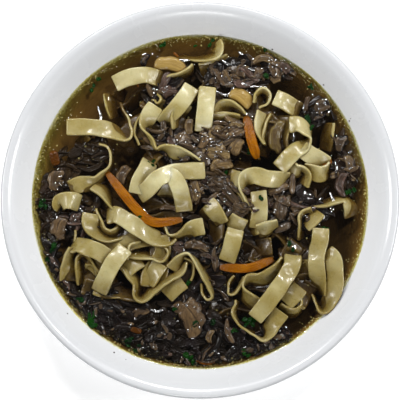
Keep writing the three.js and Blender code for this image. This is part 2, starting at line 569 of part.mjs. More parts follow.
/**
 * Follows a noodle's stations and returns its cross sections.
 * @returns {{middle: THREE.Vector3, tilt: number, corners: THREE.Vector3[]}[]}
 */
function noodleSections(stations) {
  const path = new THREE.CatmullRomCurve3(
    stations.map(([x, y, top]) => new THREE.Vector3(x, y + FOOD_OFFSET_Y, top)), false, 'catmullrom', 0.5);
  const tilts = new THREE.SplineCurve(stations.map((station, i) => new THREE.Vector2(i, station[3])));
  const sections = [];
  let side = null;
  for (const share of stepsAlong(stations)) {
    const tilt = THREE.MathUtils.degToRad(tilts.getPoint(share).y);
    const middle = path.getPoint(share);
    const sink = (NOODLE.width / 2) * Math.abs(Math.sin(tilt))
      + (NOODLE.thickness / 2) * Math.abs(Math.cos(tilt));
    middle.z += BROTH.level - sink;
    const along = path.getTangent(share);
    const level = new THREE.Vector3(-along.y, along.x, 0).normalize();
    if (side && level.dot(side) < 0) {
      level.negate();
    }
    side = level;
    const up = new THREE.Vector3().crossVectors(along, side).normalize();
    const across = side.clone().multiplyScalar(Math.cos(tilt)).addScaledVector(up, Math.sin(tilt));
    const through = new THREE.Vector3().crossVectors(along, across).normalize();
    const corners = [[-1, -1], [1, -1], [1, 1], [-1, 1]].map(([u, v]) => middle.clone()
      .addScaledVector(across, (u * NOODLE.width) / 2)
      .addScaledVector(through, (v * NOODLE.thickness) / 2));
    const before = sections[sections.length - 1];
    if (before) {
      keepAhead(before, corners, along);
    }
    sections.push({ middle, tilt, corners });
  }
  return sections;
}

/** Moves the corners inside a tight bend forwards, so that the noodle never folds into itself. */
function keepAhead(before, corners, along) {
  corners.forEach((corner, i) => {
    const ahead = corner.clone().sub(before.corners[i]).dot(along);
    if (ahead < NOODLE.shortestStep) {
      corner.addScaledVector(along, NOODLE.shortestStep - ahead);
    }
  });
}

/** One noodle, joined from the short lengths between its sections. */
function noodleSolid(sections) {
  const lengths = [];
  for (let i = 0; i + 1 < sections.length; i += 1) {
    lengths.push(outwardSolid(loft([sections[i].corners, sections[i + 1].corners])));
  }
  return join(lengths);
}

/** The height of the core's top: just over the broth, and up under the noodles that lie flat. */
function coreHeight(x, y, flatMiddles) {
  let height = BROTH.level + CORE.lift
    + CORE.relief * Math.sin(x / CORE.swell + CORE.phase) * Math.cos(y / CORE.swell);
  for (const middle of flatMiddles) {
    const beyondShelf = Math.max(0, Math.hypot(middle.x - x, middle.y - y) - CORE.shelf);
    height = Math.max(height, middle.z - NOODLE.thickness / 2 + CORE.bite - CORE.slope * beyondShelf);
  }
  return height;
}

/** The core's outline, uneven like the heap's. */
function coreRadius(turn) {
  const fine = Math.sin(CORE.waves * turn + CORE.phase);
  const broad = CORE.broadShare * Math.cos(CORE.broadWaves * turn);
  return CORE.radius + CORE.waviness * fine + CORE.waviness * broad;
}

/** A block with straight tapering sides that the core is cut from, grown by a distance. */
function coreBlock(grow) {
  const rings = [
    [CORE.bottomHeight - grow, CORE.bottomRadius + grow],
    [CORE.shoulderHeight, CORE.radius + grow],
    [CORE.blockHeight, CORE.radius + grow],
  ].map(([height, radius]) => {
    const ring = [];
    for (let side = 0; side < CORE.sides; side += 1) {
      const turn = (2 * Math.PI * side) / CORE.sides;
      const reach = radius + coreRadius(turn) - CORE.radius;
      ring.push(new THREE.Vector3(reach * Math.cos(turn), reach * Math.sin(turn) + FOOD_OFFSET_Y, height));
    }
    return ring;
  });
  return outwardSolid(loft(rings));
}

/** A square of ground whose top follows the core's height. */
function coreGround(flatMiddles) {
  const cells = 2 * Math.ceil((CORE.radius + 2 * CORE.waviness) / CORE.cell);
  const half = (cells * CORE.cell) / 2;
  const geometry = new THREE.BoxGeometry(2 * half, 2 * half, 1, cells, cells, 1);
  const place = geometry.attributes.position;
  for (let i = 0; i < place.count; i += 1) {
    const x = place.getX(i);
    const y = place.getY(i);
    place.setZ(i, place.getZ(i) > 0 ? coreHeight(x, y, flatMiddles) : 0);
  }
  return solid(geometry);
}

// ---------------------------------------------------------------- the toppings

/** A carrot stick with blunt, slightly narrower ends, grown by a distance. */
function carrotSolid({ line, width, depth }, grow = 0) {
  const path = new THREE.CatmullRomCurve3(line.map(([x, y, top]) => (
    new THREE.Vector3(x, y + FOOD_OFFSET_Y, BROTH.level + top - depth / 2))));
  const steps = CARROT.stepsPerStretch * (line.length - 1);
  const { corner } = CARROT;
  const outline = [[1, -corner], [corner, 1], [-corner, 1], [-1, -corner], [-corner, -1], [corner, -1]];
  const rings = [];
  for (let step = 0; step <= steps; step += 1) {
    const share = step / steps;
    const atEnd = step === 0 || step === steps;
    const along = path.getTangent(share);
    const across = new THREE.Vector3(-along.y, along.x, 0).normalize();
    const up = new THREE.Vector3().crossVectors(along, across).normalize();
    const middle = path.getPoint(share).addScaledVector(along, (atEnd ? grow : 0) * (step === 0 ? -1 : 1));
    const taper = atEnd ? CARROT.endWidth : 1;
    rings.push(outline.map(([u, v]) => middle.clone()
      .addScaledVector(across, u * ((width / 2) * taper + grow))
      .addScaledVector(up, v * ((depth / 2) * taper + grow))));
  }
  return outwardSolid(loft(rings));
}

/** A chopped piece of mushroom: an uneven bent lump, grown by a distance. */
function mushroomSolid([x, y, top, length, width, depth, turn, bend], seed, grow = 0) {
  const random = seededRandom(seed);
  const geometry = new THREE.SphereGeometry(1, MUSHROOM.columns, MUSHROOM.rows);
  geometry.rotateZ(Math.PI / 2);
  geometry.deleteAttribute('normal');
  geometry.deleteAttribute('uv');
  const lump = mergeVertices(geometry, MUSHROOM.sameCorner);
  const place = lump.attributes.position;
  for (let i = 0; i < place.count; i += 1) {
    const uneven = MUSHROOM.leastReach + MUSHROOM.unevenness * random();
    const [u, v, w] = [place.getX(i), place.getY(i), place.getZ(i)].map((value) => (
      Math.sign(value) * Math.abs(value) ** MUSHROOM.squareness));
    const cross = Math.hypot(v, w) > 1 ? 1 / Math.hypot(v, w) ** 0.5 : 1;
    place.setXYZ(
      i,
      u * ((length / 2) * uneven + grow),
      v * cross * ((width / 2) * uneven + grow) + bend * length * (0.5 - u * u),
      w * cross * (depth / 2 + grow),
    );
  }
  lump.rotateZ(THREE.MathUtils.degToRad(turn));
  lump.translate(x, y + FOOD_OFFSET_Y, BROTH.level + top - depth / 2);
  return outwardSolid(lump);
}

/** A flake of herb that stands a little out of the broth. */
function herbSolid([x, y, turn]) {
  const flake = new THREE.SphereGeometry(1, HERB.columns, HERB.rows);
  flake.rotateX(Math.PI / 2);
  flake.scale(HERB.length / 2, HERB.width / 2, HERB.depth / 2);
  flake.rotateZ(THREE.MathUtils.degToRad(turn));
  flake.translate(x, y + FOOD_OFFSET_Y, BROTH.level + HERB.show - HERB.depth / 2);
  return outwardSolid(flake);
}

// ---------------------------------------------------------------- fitting the pieces together

/** The toppings in turn, each cut clear of those before it, with the room that each takes up. */
function fitToppings() {
  const wanted = [
    ...Object.entries(CARROTS).map(([name, carrot]) => ({
      name, colour: 'carrot', shape: carrotSolid(carrot), room: carrotSolid(carrot, GAP) })),
    ...Object.entries(MUSHROOMS).map(([name, piece], i) => ({
      name: `mushroom_${name}`,
      colour: piece[8],
      shape: mushroomSolid(piece, SEED + i),
      room: mushroomSolid(piece, SEED + i, GAP),
    })),
  ];
  const room = roomInPlate(PLATE.lipHeight);
  const fitted = [];
  for (const piece of wanted) {
    let { shape } = piece;
    for (const other of fitted) {
      if (boxesMeet(shape, other.room)) {
        shape = shape.subtract(other.room);
      }
    }
    if (shape.subtract(room).volume() > 0) {
      shape = shape.intersect(room);
    }
    fitted.push({ ...piece, shape: soundBody(shape) });
  }
  return fitted;
}

/** The heap: its core with the noodles fused on, clear of the plate, the broth and the toppings. */
function noodleHeap(toppings) {
  const routes = Object.values(NOODLES).map(noodleSections);
  const steepest = THREE.MathUtils.degToRad(CORE.steepestTilt);
  const flatMiddles = routes.flat()
    .filter(({ tilt }) => Math.abs(tilt) < steepest)
    .map(({ middle }) => middle);
  const core = coreBlock(0).intersect(coreGround(flatMiddles));
  const aboveBroth = new THREE.BoxGeometry(2 * PLATE.radius, 2 * PLATE.radius, PLATE.lipHeight);
  aboveBroth.translate(0, 0, BROTH.level + GAP + PLATE.lipHeight / 2);
  const free = join([solid(aboveBroth), coreBlock(0)]);
  const noodles = join(routes.map(noodleSolid)).intersect(free).intersect(roomInPlate(PLATE.lipHeight));
  const rooms = join(toppings.map(({ room }) => room));
  return soundBody(join([core, noodles]).subtract(rooms));
}

/** The broth up to its level, round the heap and the toppings, with the herb flakes on it. */
function brothSolid(toppings) {
  const rooms = join([coreBlock(GAP), ...toppings.map(({ room }) => room)]);
  const flakes = join(HERBS.map(herbSolid));
  const room = roomInPlate(PLATE.lipHeight);
  return soundBody(join([roomInPlate(BROTH.level), flakes.intersect(room)]).subtract(rooms));
}

/** A named mesh with its own material. */
function named(name, shape, colour, roughness) {
  const material = new THREE.MeshStandardMaterial({ color: COLOURS[colour], roughness, metalness: 0 });
  const mesh = new THREE.Mesh(geometryOf(shape), material);
  mesh.name = name;
  return mesh;
}

const soup = new THREE.Group();
const toppings = fitToppings();
soup.add(named('plate', plateSolid(), 'china', 0.15));
soup.add(named('broth', brothSolid(toppings), 'broth', 0.1));
soup.add(named('noodles', noodleHeap(toppings), 'noodle', 0.35));
for (const { name, shape, colour } of toppings) {
  soup.add(named(name, shape, colour, 0.35));
}

export default soup;
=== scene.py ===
"""Bowl of mushroom noodle soup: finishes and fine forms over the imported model.

The frame is the model's own: metres, +Z up, the origin at the centre of the plate's foot and +Y
towards the far side. Tables are written in millimetres, measured from the middle of the food.
"""

import logging
import math
import random
from dataclasses import dataclass, field
from enum import Enum

import bmesh
import bpy
from mathutils import Matrix, Vector, noise
from mathutils.bvhtree import BVHTree

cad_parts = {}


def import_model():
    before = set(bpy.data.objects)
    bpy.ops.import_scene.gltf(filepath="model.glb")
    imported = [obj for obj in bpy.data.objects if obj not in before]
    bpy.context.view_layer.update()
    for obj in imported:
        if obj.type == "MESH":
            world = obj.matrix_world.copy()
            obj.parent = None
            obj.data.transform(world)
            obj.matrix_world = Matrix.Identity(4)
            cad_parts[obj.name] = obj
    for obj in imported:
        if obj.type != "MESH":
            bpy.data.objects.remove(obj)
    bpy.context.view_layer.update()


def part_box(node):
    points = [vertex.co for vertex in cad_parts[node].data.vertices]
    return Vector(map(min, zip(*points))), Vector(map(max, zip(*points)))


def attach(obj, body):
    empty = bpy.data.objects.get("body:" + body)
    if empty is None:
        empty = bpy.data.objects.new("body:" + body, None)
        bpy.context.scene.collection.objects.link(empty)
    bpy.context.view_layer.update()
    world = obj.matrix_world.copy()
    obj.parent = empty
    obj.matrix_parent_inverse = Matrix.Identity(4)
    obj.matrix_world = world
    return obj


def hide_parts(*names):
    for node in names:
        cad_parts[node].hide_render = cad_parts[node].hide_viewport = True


log = logging.getLogger("soup")

MM = 0.001

#: The broth's free surface, and how far the food lies towards the far side, in millimetres.
LEVEL = 25.5
FOOD_OFFSET_Y = 1.0

#: A height over everything on the plate, in millimetres.
ABOVE_ALL = 60.0

Station = tuple[float, float, float, float]
Colour = tuple[float, float, float]


def srgb(red: int, green: int, blue: int) -> Colour:
    """Turns a colour on a scale of 255 into the linear values that a shader takes.

    Args:
        red: The red part.
        green: The green part.
        blue: The blue part.

    Returns:
        The linear colour.
    """
    parts = (part / 255 for part in (red, green, blue))
    return tuple(part / 12.92 if part <= 0.04045 else ((part + 0.055) / 1.055) ** 2.4 for part in parts)


# ---------------------------------------------------------------- tables

#: Every noodle: stations of x, y, the height of its higher edge over the broth, and the tilt of
#: its width in degrees, where 0 lies flat and 90 stands on edge.
NOODLES: dict[str, tuple[Station, ...]] = {
    "left_strip": ((-68, 36.5, 0.8, 0), (-58, 36.5, 2, 0), (-49, 35.5, 2.5, -8), (-42.5, 33.3, 3.5, -35),
                   (-37, 30.5, 4, -75), (-35, 34.5, 2.5, -90), (-37.5, 41.5, 1, -85), (-41.5, 48, -1.5, -70)),
    "left_shred": ((-61.5, 32, 1.2, 35), (-58, 28.5, 0.6, 50)),
    "upper_left_stub": ((-46.5, 54, 0.8, -45), (-45.5, 48, 1.4, -50), (-44, 41.5, 0.4, -60)),
    "top_left_hump": ((-43.5, 58.5, 2.5, 0), (-38, 61, 4, 0), (-32.5, 62.5, 4.2, 5), (-26.5, 63, 3, 0),
                      (-20, 61.5, -1, 0)),
    "top_hook": ((8.5, 80, 4, 65), (9, 77, 5, 50), (8, 73.5, 4.5, 52), (3.5, 72.5, 3, 58),
                 (-1.5, 72.5, 1.5, 58), (-6.5, 73.5, 0, 60), (-11, 74, -1.5, 60)),
    "top_edge_strip": ((-17, 61, 1.5, 70), (-11, 62.5, 2.5, 70), (-6, 65, 3, 70), (-3.5, 67, 2, 70)),
    "top_wet_strip": ((0, 66, 1, 30), (7.5, 68, 1.5, 30), (15, 71, 1, 30)),
    "upper_diagonal": ((-4, 57, 4, 0), (-8, 50.5, 6, -5), (-13.5, 44, 5.5, -15), (-20.5, 39, 3.5, -62)),
    "upper_fold": ((-6, 44, 3.5, -45), (-9.5, 45.5, 4.5, -45), (-12, 42, 4, -45), (-11.5, 36.5, 2, -45)),
    "upper_upright": ((4, 56.5, 5.5, 0), (3, 47.5, 7, 0), (2, 38.5, 5.5, 0), (1.5, 34, 2.5, 0)),
    "small_hook": ((-24.5, 48, 1, 50), (-21, 47, 2.5, 55), (-18.5, 50, 3, 60), (-19.5, 54.5, 0.5, 60)),
    "thin_edge": ((-30.5, 43.5, 1.5, 82), (-33, 38, 2, 82), (-33.5, 33, 2, 82), (-31.5, 27.5, 1, 82)),
    "long_twist": ((-22.5, 47, 5, 0), (-26, 41.5, 5, -12), (-28, 36.5, 5, -60), (-26.5, 30.5, 4.5, -118),
                   (-24, 25.5, 4, -110), (-21.5, 24.5, 4, -100), (-18.5, 25, 5, -115), (-13.5, 23.5, 6, -140),
                   (-7, 21.5, 5, -122), (-0.5, 19, 3.5, -95)),
    "left_s_curve": ((-50, 28, 1.5, -80), (-46.3, 25.5, 3, -85), (-45, 20.5, 3.5, -85), (-46.3, 15, 3.5, -75),
                     (-51.5, 9, 3.5, -55), (-56, 7.5, 3, -30), (-61, 7, 2, -10), (-66, 5, 0, 0)),
    "left_curl": ((-61, -2.5, 1.5, 0), (-65, -1.5, 5, 0), (-68.5, -1.5, 4.5, 0), (-71, -2.5, 2, 0),
                  (-70, -3.5, -0.5, 0)),
    "left_arc": ((-53.5, 7, 3, -35), (-49.5, 4, 4, -45), (-46.5, -0.5, 4, -65), (-44.5, -5, 3, -85),
                 (-41, -7.5, 2, -60)),
    "left_loop": ((-55, -8, 4, -5), (-55.5, -12.5, 5, -15), (-53, -17, 4.5, -35), (-48, -20, 4, -55),
                  (-42.5, -20, 3, -65), (-37.5, -18, 1.5, -60)),
    "left_loop_inner": ((-53.5, -6.5, 3, 70), (-51.5, -11, 4, 75), (-49.5, -15.5, 4, 70),
                        (-45.5, -18.5, 4, 55), (-41, -16.5, 3.5, 65), (-39.5, -13, 2, 75)),
    "long_band": ((-47, -9.5, 3, -30), (-43, -8.5, 5, -15), (-37, -11.5, 6, -8), (-30.5, -16, 6, -10),
                  (-23.5, -20, 5, -20), (-17.5, -21.5, 4, -40), (-13.5, -20, 2.5, -70)),
    "bow_tie": ((-18.5, -15, 3, 80), (-16, -19, 3.5, 80), (-12, -20, 3.5, 70), (-8, -18.5, 4, 50),
                (-3.5, -15.5, 5, 20), (2, -14.5, 5, 0)),
    "low_band": ((-49, -26.5, 1, 0), (-41.5, -25, 1.5, 0), (-33.5, -21.5, 2, 0), (-25, -20, 1, 0)),
    "fold_over": ((-65, -25, 5.5, -60), (-61.5, -24, 7, -35), (-56.5, -25.5, 7.5, -8), (-51, -27.5, 6.5, 0),
                  (-45.5, -31, 4.5, 0)),
    "fold_left_leg": ((-67, -42, 1, 15), (-66.5, -35, 3, 30), (-65.5, -29.5, 5, 55), (-63.5, -25, 6.5, 65)),
    "fold_inner": ((-59.5, -43, 1, 55), (-60.5, -37, 3, 60), (-61, -31, 4, 70), (-58.5, -29, 4.5, 80),
                   (-55, -33, 4, 80), (-51, -39.5, 3, 75)),
    "fold_floor": ((-56, -31, 2.5, 10), (-52, -34, 2.5, 10), (-48, -38, 2, 10)),
    "fold_hook": ((-58, -36, 3, 55), (-55, -36, 3, 55), (-53.5, -39.5, 2.5, 60), (-51, -40.5, 1.5, 60)),
    "front_diagonal": ((-37.5, -25.5, 6, 10), (-43.5, -33, 7.5, 0), (-47.5, -40.5, 6, 0),
                       (-51, -47.5, 1.5, 0)),
    "scallop_top": ((-35.5, -28.5, 3.5, -65), (-29, -29, 4.5, -60), (-23.5, -30, 4.5, -65),
                    (-19, -31, 4.5, -75), (-16.5, -28, 4, -85), (-19, -25, 3, -80), (-24, -25, 2, -70)),
    "scallop_corner": ((-36, -31, 4.5, 80), (-36, -27.5, 5, 85), (-34.5, -25, 4.5, 70), (-30, -24, 3.5, 60)),
    "scallop_tongue": ((-38.5, -34, 3, -50), (-35, -38, 4.5, -55), (-31.5, -43.5, 4.5, -60),
                       (-32, -49.5, 4.5, -70), (-29, -51, 5, -65), (-23.5, -46, 5.5, -58),
                       (-16.5, -41, 5, -55), (-10.5, -37, 4.5, -60), (-8, -32.5, 3.5, -70)),
    "scallop_panel": ((-20, -33, 3, 0), (-23, -38, 4, 20), (-26, -44, 3.5, 50)),
    "scallop_back": ((-30, -31, 2, 10), (-34.5, -34, 3, 10), (-37.5, -37, 3, 20)),
    "arch": ((-14, -36.5, 3.5, 25), (-10.5, -32, 5, 50), (-6.5, -28.5, 6, 85), (-2.5, -31, 6, 105),
             (1.5, -37.5, 5.5, 115), (5.5, -45, 5, 115), (6.5, -50, 4.5, 95), (4, -51.5, 4, 85),
             (2, -48.5, 3, 80), (2, -44, 2, 75)),
    "arch_inner": ((-8, -31, 3, 80), (-4, -33, 3.5, 85), (-3.5, -37, 3, 85), (-5, -41, 2, 80)),
    "grey_flap": ((-8.5, -42, 1.5, 0), (-12.5, -45, 2, 0), (-17, -49.5, 1, 0)),
    "knot_over": ((2.5, 14, 3, 0), (-5, 13.5, 5, 0), (-13.5, 12.5, 7, 0), (-21, 9.5, 8, 0), (-26.5, 4, 6, 0),
                  (-31, 1, 3, 0)),
    "knot_flap": ((-32, 2, 4, 0), (-30.5, 8.5, 6, 15), (-27, 15, 5.5, 15), (-25.5, 18.5, 3, 15)),
    "knot_arch": ((-17.5, 11, 5.5, 0), (-13.5, 10, 8, 0), (-10.5, 5, 7.5, 0), (-8.5, -2.5, 3.5, 0),
                  (-8, -6.5, 1, 0)),
    "knot_tuck": ((-20, 5, 5, 30), (-16, 3, 4, 40), (-13, 0.5, 3, 60)),
    "right_wave": ((45.5, 11, 4, -70), (41, 9.5, 5, -25), (34, 9.5, 6.5, -5), (27.5, 11, 7.5, -8),
                   (23, 9.5, 7, -35), (21.5, 5, 6, -65), (23.5, 0, 4.5, -78), (25.5, -4.5, 2, -80)),
    "right_wave_flap": ((19, 14, 4, 30), (17, 10, 4.5, 40), (15.5, 5.5, 3, 45)),
    "right_upright": ((29.5, 3.5, 5, 15), (30, -2.5, 5.5, 20), (30, -9, 4.5, 15), (29, -15.5, 3, 15)),
    "right_roll": ((45.5, 37.5, 3, -5), (50, 37.5, 6, -20), (54, 34.5, 7.5, -50), (56, 30.5, 7, -90),
                   (53, 26.5, 6, -140), (48.5, 24, 6, -165), (44.5, 20, 5.5, -170), (40, 15, 4.5, -160)),
    "upper_right_stub": ((38, 51.5, 4.5, -10), (42.5, 49.5, 4.5, -10), (47, 47, 2, -8), (51, 45, -1.5, 0)),
    "little_ring": ((28.5, 49.5, 3.5, 75), (29, 53, 4.5, 75), (32, 55, 5, 75), (34.8, 52.5, 5, 75),
                    (34, 49, 4.5, 75), (31, 47.5, 3, 75)),
    "right_blade": ((32, 44, 4, -35), (31, 39, 5, -45), (31, 33.5, 4.5, -60), (33, 28, 3.5, -80)),
    "right_blade_back": ((33.5, 27, 3, 80), (33, 32, 2.5, 75), (34.5, 37.5, 2, 70), (37, 42.5, 1, 70)),
    "centre_top_curl": ((9.5, 43.5, 2, 30), (11, 46.5, 3, 45), (15, 47.5, 4, 60), (19, 46, 3.5, 70),
                        (21.5, 43.5, 2, 70)),
    "centre_top_strip": ((6.5, 40.5, 3, 50), (13, 41, 3.5, 55), (20, 40.5, 2.5, 60)),
    "cone_back": ((51.5, 25, 5, 0), (55.5, 22, 5.5, 10), (60, 20, 5, 20), (64.5, 17.5, 4, 40)),
    "cone_front": ((52.5, 15.5, 4, 60), (56.5, 13.5, 4.5, 35), (61, 12, 5, 25), (64.5, 14.5, 4.5, 60),
                   (66, 17.5, 4, 80)),
    "right_curl": ((45, 15, 4, 30), (49, 14, 5, 40), (52, 14.5, 5, 70), (54, 11.5, 4.5, 60),
                   (52.5, 7, 2.5, 40)),
    "right_edge_strip": ((58, -3.5, 2, -75), (63.5, -2.5, 3, -65), (69, -0.5, 3.5, -60), (74, -0.5, 4, -60),
                         (76, -4, 3.5, -40), (77, -9, 0.5, -20)),
    "right_fold_leg": ((52, -20, 0.5, 60), (51.5, -14, 3, 62), (52, -8.5, 4.5, 65), (57, -6.5, 5, 60)),
    "right_fold_tip": ((60.5, -7, 4.5, 40), (57, -10.5, 5, 35), (53.5, -14.5, 3.5, 45)),
    "right_long_inner": ((61, -15.5, 4, 0), (60.5, -21.5, 5, 5), (59, -27.5, 5, 15), (58.5, -34, 5.5, 10),
                         (59.5, -41, 4.5, 30), (61.5, -49, 2, 70)),
    "right_long_outer": ((64, -27, 4, 30), (67, -31, 5, 10), (68, -38, 4, 10), (68, -45, 4, 15),
                         (65.5, -51.5, 4.2, 30), (62, -56.5, 3.6, 60), (59, -53, 2.6, 75),
                         (58, -49.5, 1, 75)),
    "lower_diagonal": ((47, -29, 2, 0), (46, -35, 5.5, 0), (40.5, -44, 7.5, 0), (34, -53, 7.5, 0),
                       (27.5, -61, 4, 0)),
    "lower_loop": ((42, -31, 4, -75), (38.5, -36.5, 5, -50), (31.5, -41, 5, -40), (25, -41.5, 5, -55),
                   (21.5, -45, 5, -90), (23.5, -50, 5, -130), (28, -53.5, 4.5, -140), (33, -56, 3, -140)),
    "bottom_arc": ((19, -52, 3, -70), (17.5, -58, 3.5, -78), (20, -64, 4, -80), (25.5, -67.5, 4, -80),
                   (31, -71, 4, -80), (34, -68.5, 4.5, -50), (37, -63, 5, -15), (41, -57.5, 4.5, 0)),
    "lower_panel": ((50.5, -45, 1, 0), (47, -49.5, 3, 0), (43, -53.5, 3, 0)),
    "lower_cup": ((39.5, -55, 4, 60), (44, -57.5, 4, 60), (48.5, -58, 4, 65), (51.5, -55, 3.5, 75),
                  (52, -51.5, 2, 75)),
    "dull_stub": ((52.5, -31, 2, 20), (53, -39, 1, 20)),
    "small_wave": ((21.5, -40, 3, 80), (20, -44, 3.5, 80), (17.5, -47.5, 3, 80), (15, -48, 2.5, 80),
                   (15, -44, 2, 80), (18, -40, 1.5, 75)),
    "centre_strip": ((18, -16, 4.5, 0), (17, -20, 6, 0), (15.5, -26, 5, 0), (13.5, -32, 2.5, 0)),
    "centre_flag": ((4, -2.5, 4, 20), (7.5, -7, 5.5, 25), (11.5, -13, 4, 40)),
    "centre_sliver": ((1, -5, 3, 50), (5.5, -9.5, 2.5, 50)),
    "centre_wedge": ((14.5, -10, 5, 50), (18, -13, 5, 30), (22.5, -15, 4, 30)),
    "centre_tip": ((29, -16.5, 4.5, 45), (34, -15.5, 5.5, 45), (39.5, -13.5, 5, 55)),
    "wet_upright": ((32, -20, 1, 30), (33, -29, 0.6, 30)),
    "dull_upright": ((25, -7.5, 2, 45), (27, -19, 2, 45)),
    "amber_edge": ((16.5, 4.5, 3, 78), (20.5, -0.5, 3.2, 82), (23, -5.5, 2.6, 80)),
    "left_thin": ((-63.5, -16, 2, 80), (-64, -22.5, 2, 80)),
    "bottom_bit": ((11, -65, 1, 55), (13.5, -71.5, 0.5, 60)),
    "right_wet_strip": ((65.5, 39, 1.5, 45), (65, 32.5, 1.2, 45), (64, 25, -1, 45)),
}


@dataclass(frozen=True)
class Bed:
    """A round place where noodles lie half sunk under the others, in millimetres."""

    x: float
    y: float
    reach: float
    low: float
    high: float
    count: int


BEDS: tuple[Bed, ...] = (
    Bed(0, 0, 70, -4.5, -0.6, 60), Bed(-38, -34, 24, -1.6, 1.2, 18), Bed(50, -38, 17, -1.6, 1.0, 12),
    Bed(-18, 44, 16, -1.6, 0.8, 7), Bed(36, 34, 18, -1.8, 0.6, 7), Bed(2, -40, 12, -2, 0.5, 5),
)


class Flesh(Enum):
    """The colours that the chopped mushrooms come in."""

    SMOOTH = "smooth"
    TAN = "tan"
    BROWN = "brown"
    DARK = "dark"
    PURPLE = "purple"
    OLIVE = "olive"


@dataclass(frozen=True)
class Chunk:
    """A chopped piece of mushroom, in millimetres and degrees, as the CAD model has it."""

    x: float
    y: float
    top: float
    length: float
    width: float
    depth: float
    turn: float
    bend: float
    flesh: Flesh


#: The mushroom pieces, by the names that their nodes have after "mushroom_".
MUSHROOMS: dict[str, Chunk] = {
    "bean": Chunk(-15, 68.5, 2, 18, 8.4, 5, -10, 0.1, Flesh.SMOOTH),
    "far_sliver": Chunk(-28, 71.5, 1, 8, 4.4, 4, 65, 0.1, Flesh.DARK),
    "gills_far": Chunk(-15.5, 54.5, 1.6, 10, 8, 5, 20, 0.2, Flesh.PURPLE),
    "cap_far": Chunk(10.5, 60, 1.6, 12, 7.5, 5, 5, 0.12, Flesh.DARK),
    "slice_far_a": Chunk(21.5, 65.5, 2.2, 9, 7, 5, 70, 0.12, Flesh.BROWN),
    "slice_far_b": Chunk(29.5, 62, 1.8, 8, 6, 5, 60, 0.1, Flesh.BROWN),
    "curly_far": Chunk(33, 70.5, 2.4, 13, 5, 4.4, -6, 0.25, Flesh.TAN),
    "edge_far": Chunk(43, 67, 1.8, 8, 6, 4.4, -40, 0.1, Flesh.PURPLE),
    "knob_far": Chunk(38.5, 61.5, 2, 7, 5.6, 4.4, 20, 0, Flesh.TAN),
    "slab": Chunk(21, 51.5, 2.6, 14, 8.5, 5, -34, 0.12, Flesh.SMOOTH),
    "narrow_slice": Chunk(54.5, 48, 2, 10, 3.6, 4.4, 84, 0.05, Flesh.BROWN),
    "edge_upper_right": Chunk(62, 47, 1.8, 9, 8, 4.8, 30, 0.1, Flesh.DARK),
    "edge_right_a": Chunk(71.5, 28.5, 1.4, 11, 7, 4.4, 62, 0.1, Flesh.DARK),
    "edge_right_b": Chunk(76, 18, 1.4, 12, 5.4, 4.4, -62, 0.12, Flesh.TAN),
    "curly_right": Chunk(72.5, 7.5, 3, 15, 5.6, 5, 80, 0.25, Flesh.PURPLE),
    "olive_slice": Chunk(39.5, 31.5, 3, 19, 7.6, 5, 82, 0.16, Flesh.OLIVE),
    "chunk_centre_a": Chunk(18.5, 26.5, 4, 10, 8, 5.6, 60, 0.1, Flesh.TAN),
    "chunk_centre_b": Chunk(10.5, 17, 4, 12.5, 7.6, 5.6, 15, 0.1, Flesh.TAN),
    "chopped_a": Chunk(9.5, 27.5, 3.4, 9, 6.4, 5, -20, 0.12, Flesh.DARK),
    "chopped_b": Chunk(13.5, 34.5, 3, 11, 5.6, 5, 24, 0.2, Flesh.BROWN),
    "chunk_upper": Chunk(-5.5, 36.5, 2.4, 9.5, 5.6, 5, 86, 0.05, Flesh.TAN),
    "dark_strip": Chunk(13.5, 3, 4, 22, 5.4, 5, -47, 0.04, Flesh.DARK),
    "stem": Chunk(-2.6, 4.2, 3.6, 12, 6, 5, -78, 0.04, Flesh.TAN),
    "red_strip": Chunk(-16, -5, 2.6, 10, 3.6, 4, -4, 0.1, Flesh.BROWN),
    "lower_slice": Chunk(-1.5, -24.5, 2.4, 15, 6, 5, -8, 0.12, Flesh.BROWN),
    "tan_corner": Chunk(-39, 11.5, 3.4, 12, 7, 5, 66, 0.12, Flesh.BROWN),
    "left_slice": Chunk(-73, 9.5, 1.6, 13, 9.4, 4.6, 78, 0.14, Flesh.BROWN),
    "left_ring_slice": Chunk(-71, -15.5, 2.6, 13, 9, 5, 80, 0.16, Flesh.BROWN),
    "left_purple": Chunk(-63, -10.5, 2, 8.6, 6.4, 5, 70, 0.1, Flesh.PURPLE),
    "right_dark": Chunk(41.5, -5, 3.4, 14, 8.6, 5.6, 75, 0.1, Flesh.DARK),
    "front_cap": Chunk(-5, -60, 2.2, 22, 15, 5.6, -58, 0.14, Flesh.BROWN),
    "front_frill": Chunk(5.2, -70, 1.8, 8, 4, 4, 75, 0.2, Flesh.TAN),
    "front_chip_a": Chunk(-48, -56, 1, 13, 8, 4.6, -24, 0.12, Flesh.DARK),
    "front_chip_b": Chunk(-30, -58, 1.2, 12, 7.4, 4.6, 28, 0.12, Flesh.BROWN),
    "front_chip_c": Chunk(-18, -70, 1, 13, 8, 4.6, -12, 0.16, Flesh.DARK),
    "front_curl": Chunk(-29, -75.5, 1, 8.6, 4.4, 4, 50, 0.25, Flesh.TAN),
    "front_chip_d": Chunk(24, -77, 1, 11, 5.4, 4.4, 6, 0.12, Flesh.DARK),
    "front_chip_e": Chunk(42.5, -69.5, 1.4, 8.6, 6, 4.4, -30, 0.1, Flesh.PURPLE),
}


#: The pieces that show their gills, and how many millimetres of grain a radian of gills takes.
GILLED = ("front_cap", "left_ring_slice", "gills_far")
GILL_SPREAD = 7.0


class Cut(Enum):
    """The shapes that mushroom scraps come in."""

    SHRED = "shred"
    SLICE = "slice"
    CRUMB = "crumb"


@dataclass(frozen=True)
class ScrapSize:
    """The sizes of one kind of scrap, in millimetres, as the least and the most."""

    length: tuple[float, float]
    width: tuple[float, float]
    fold: tuple[float, float]


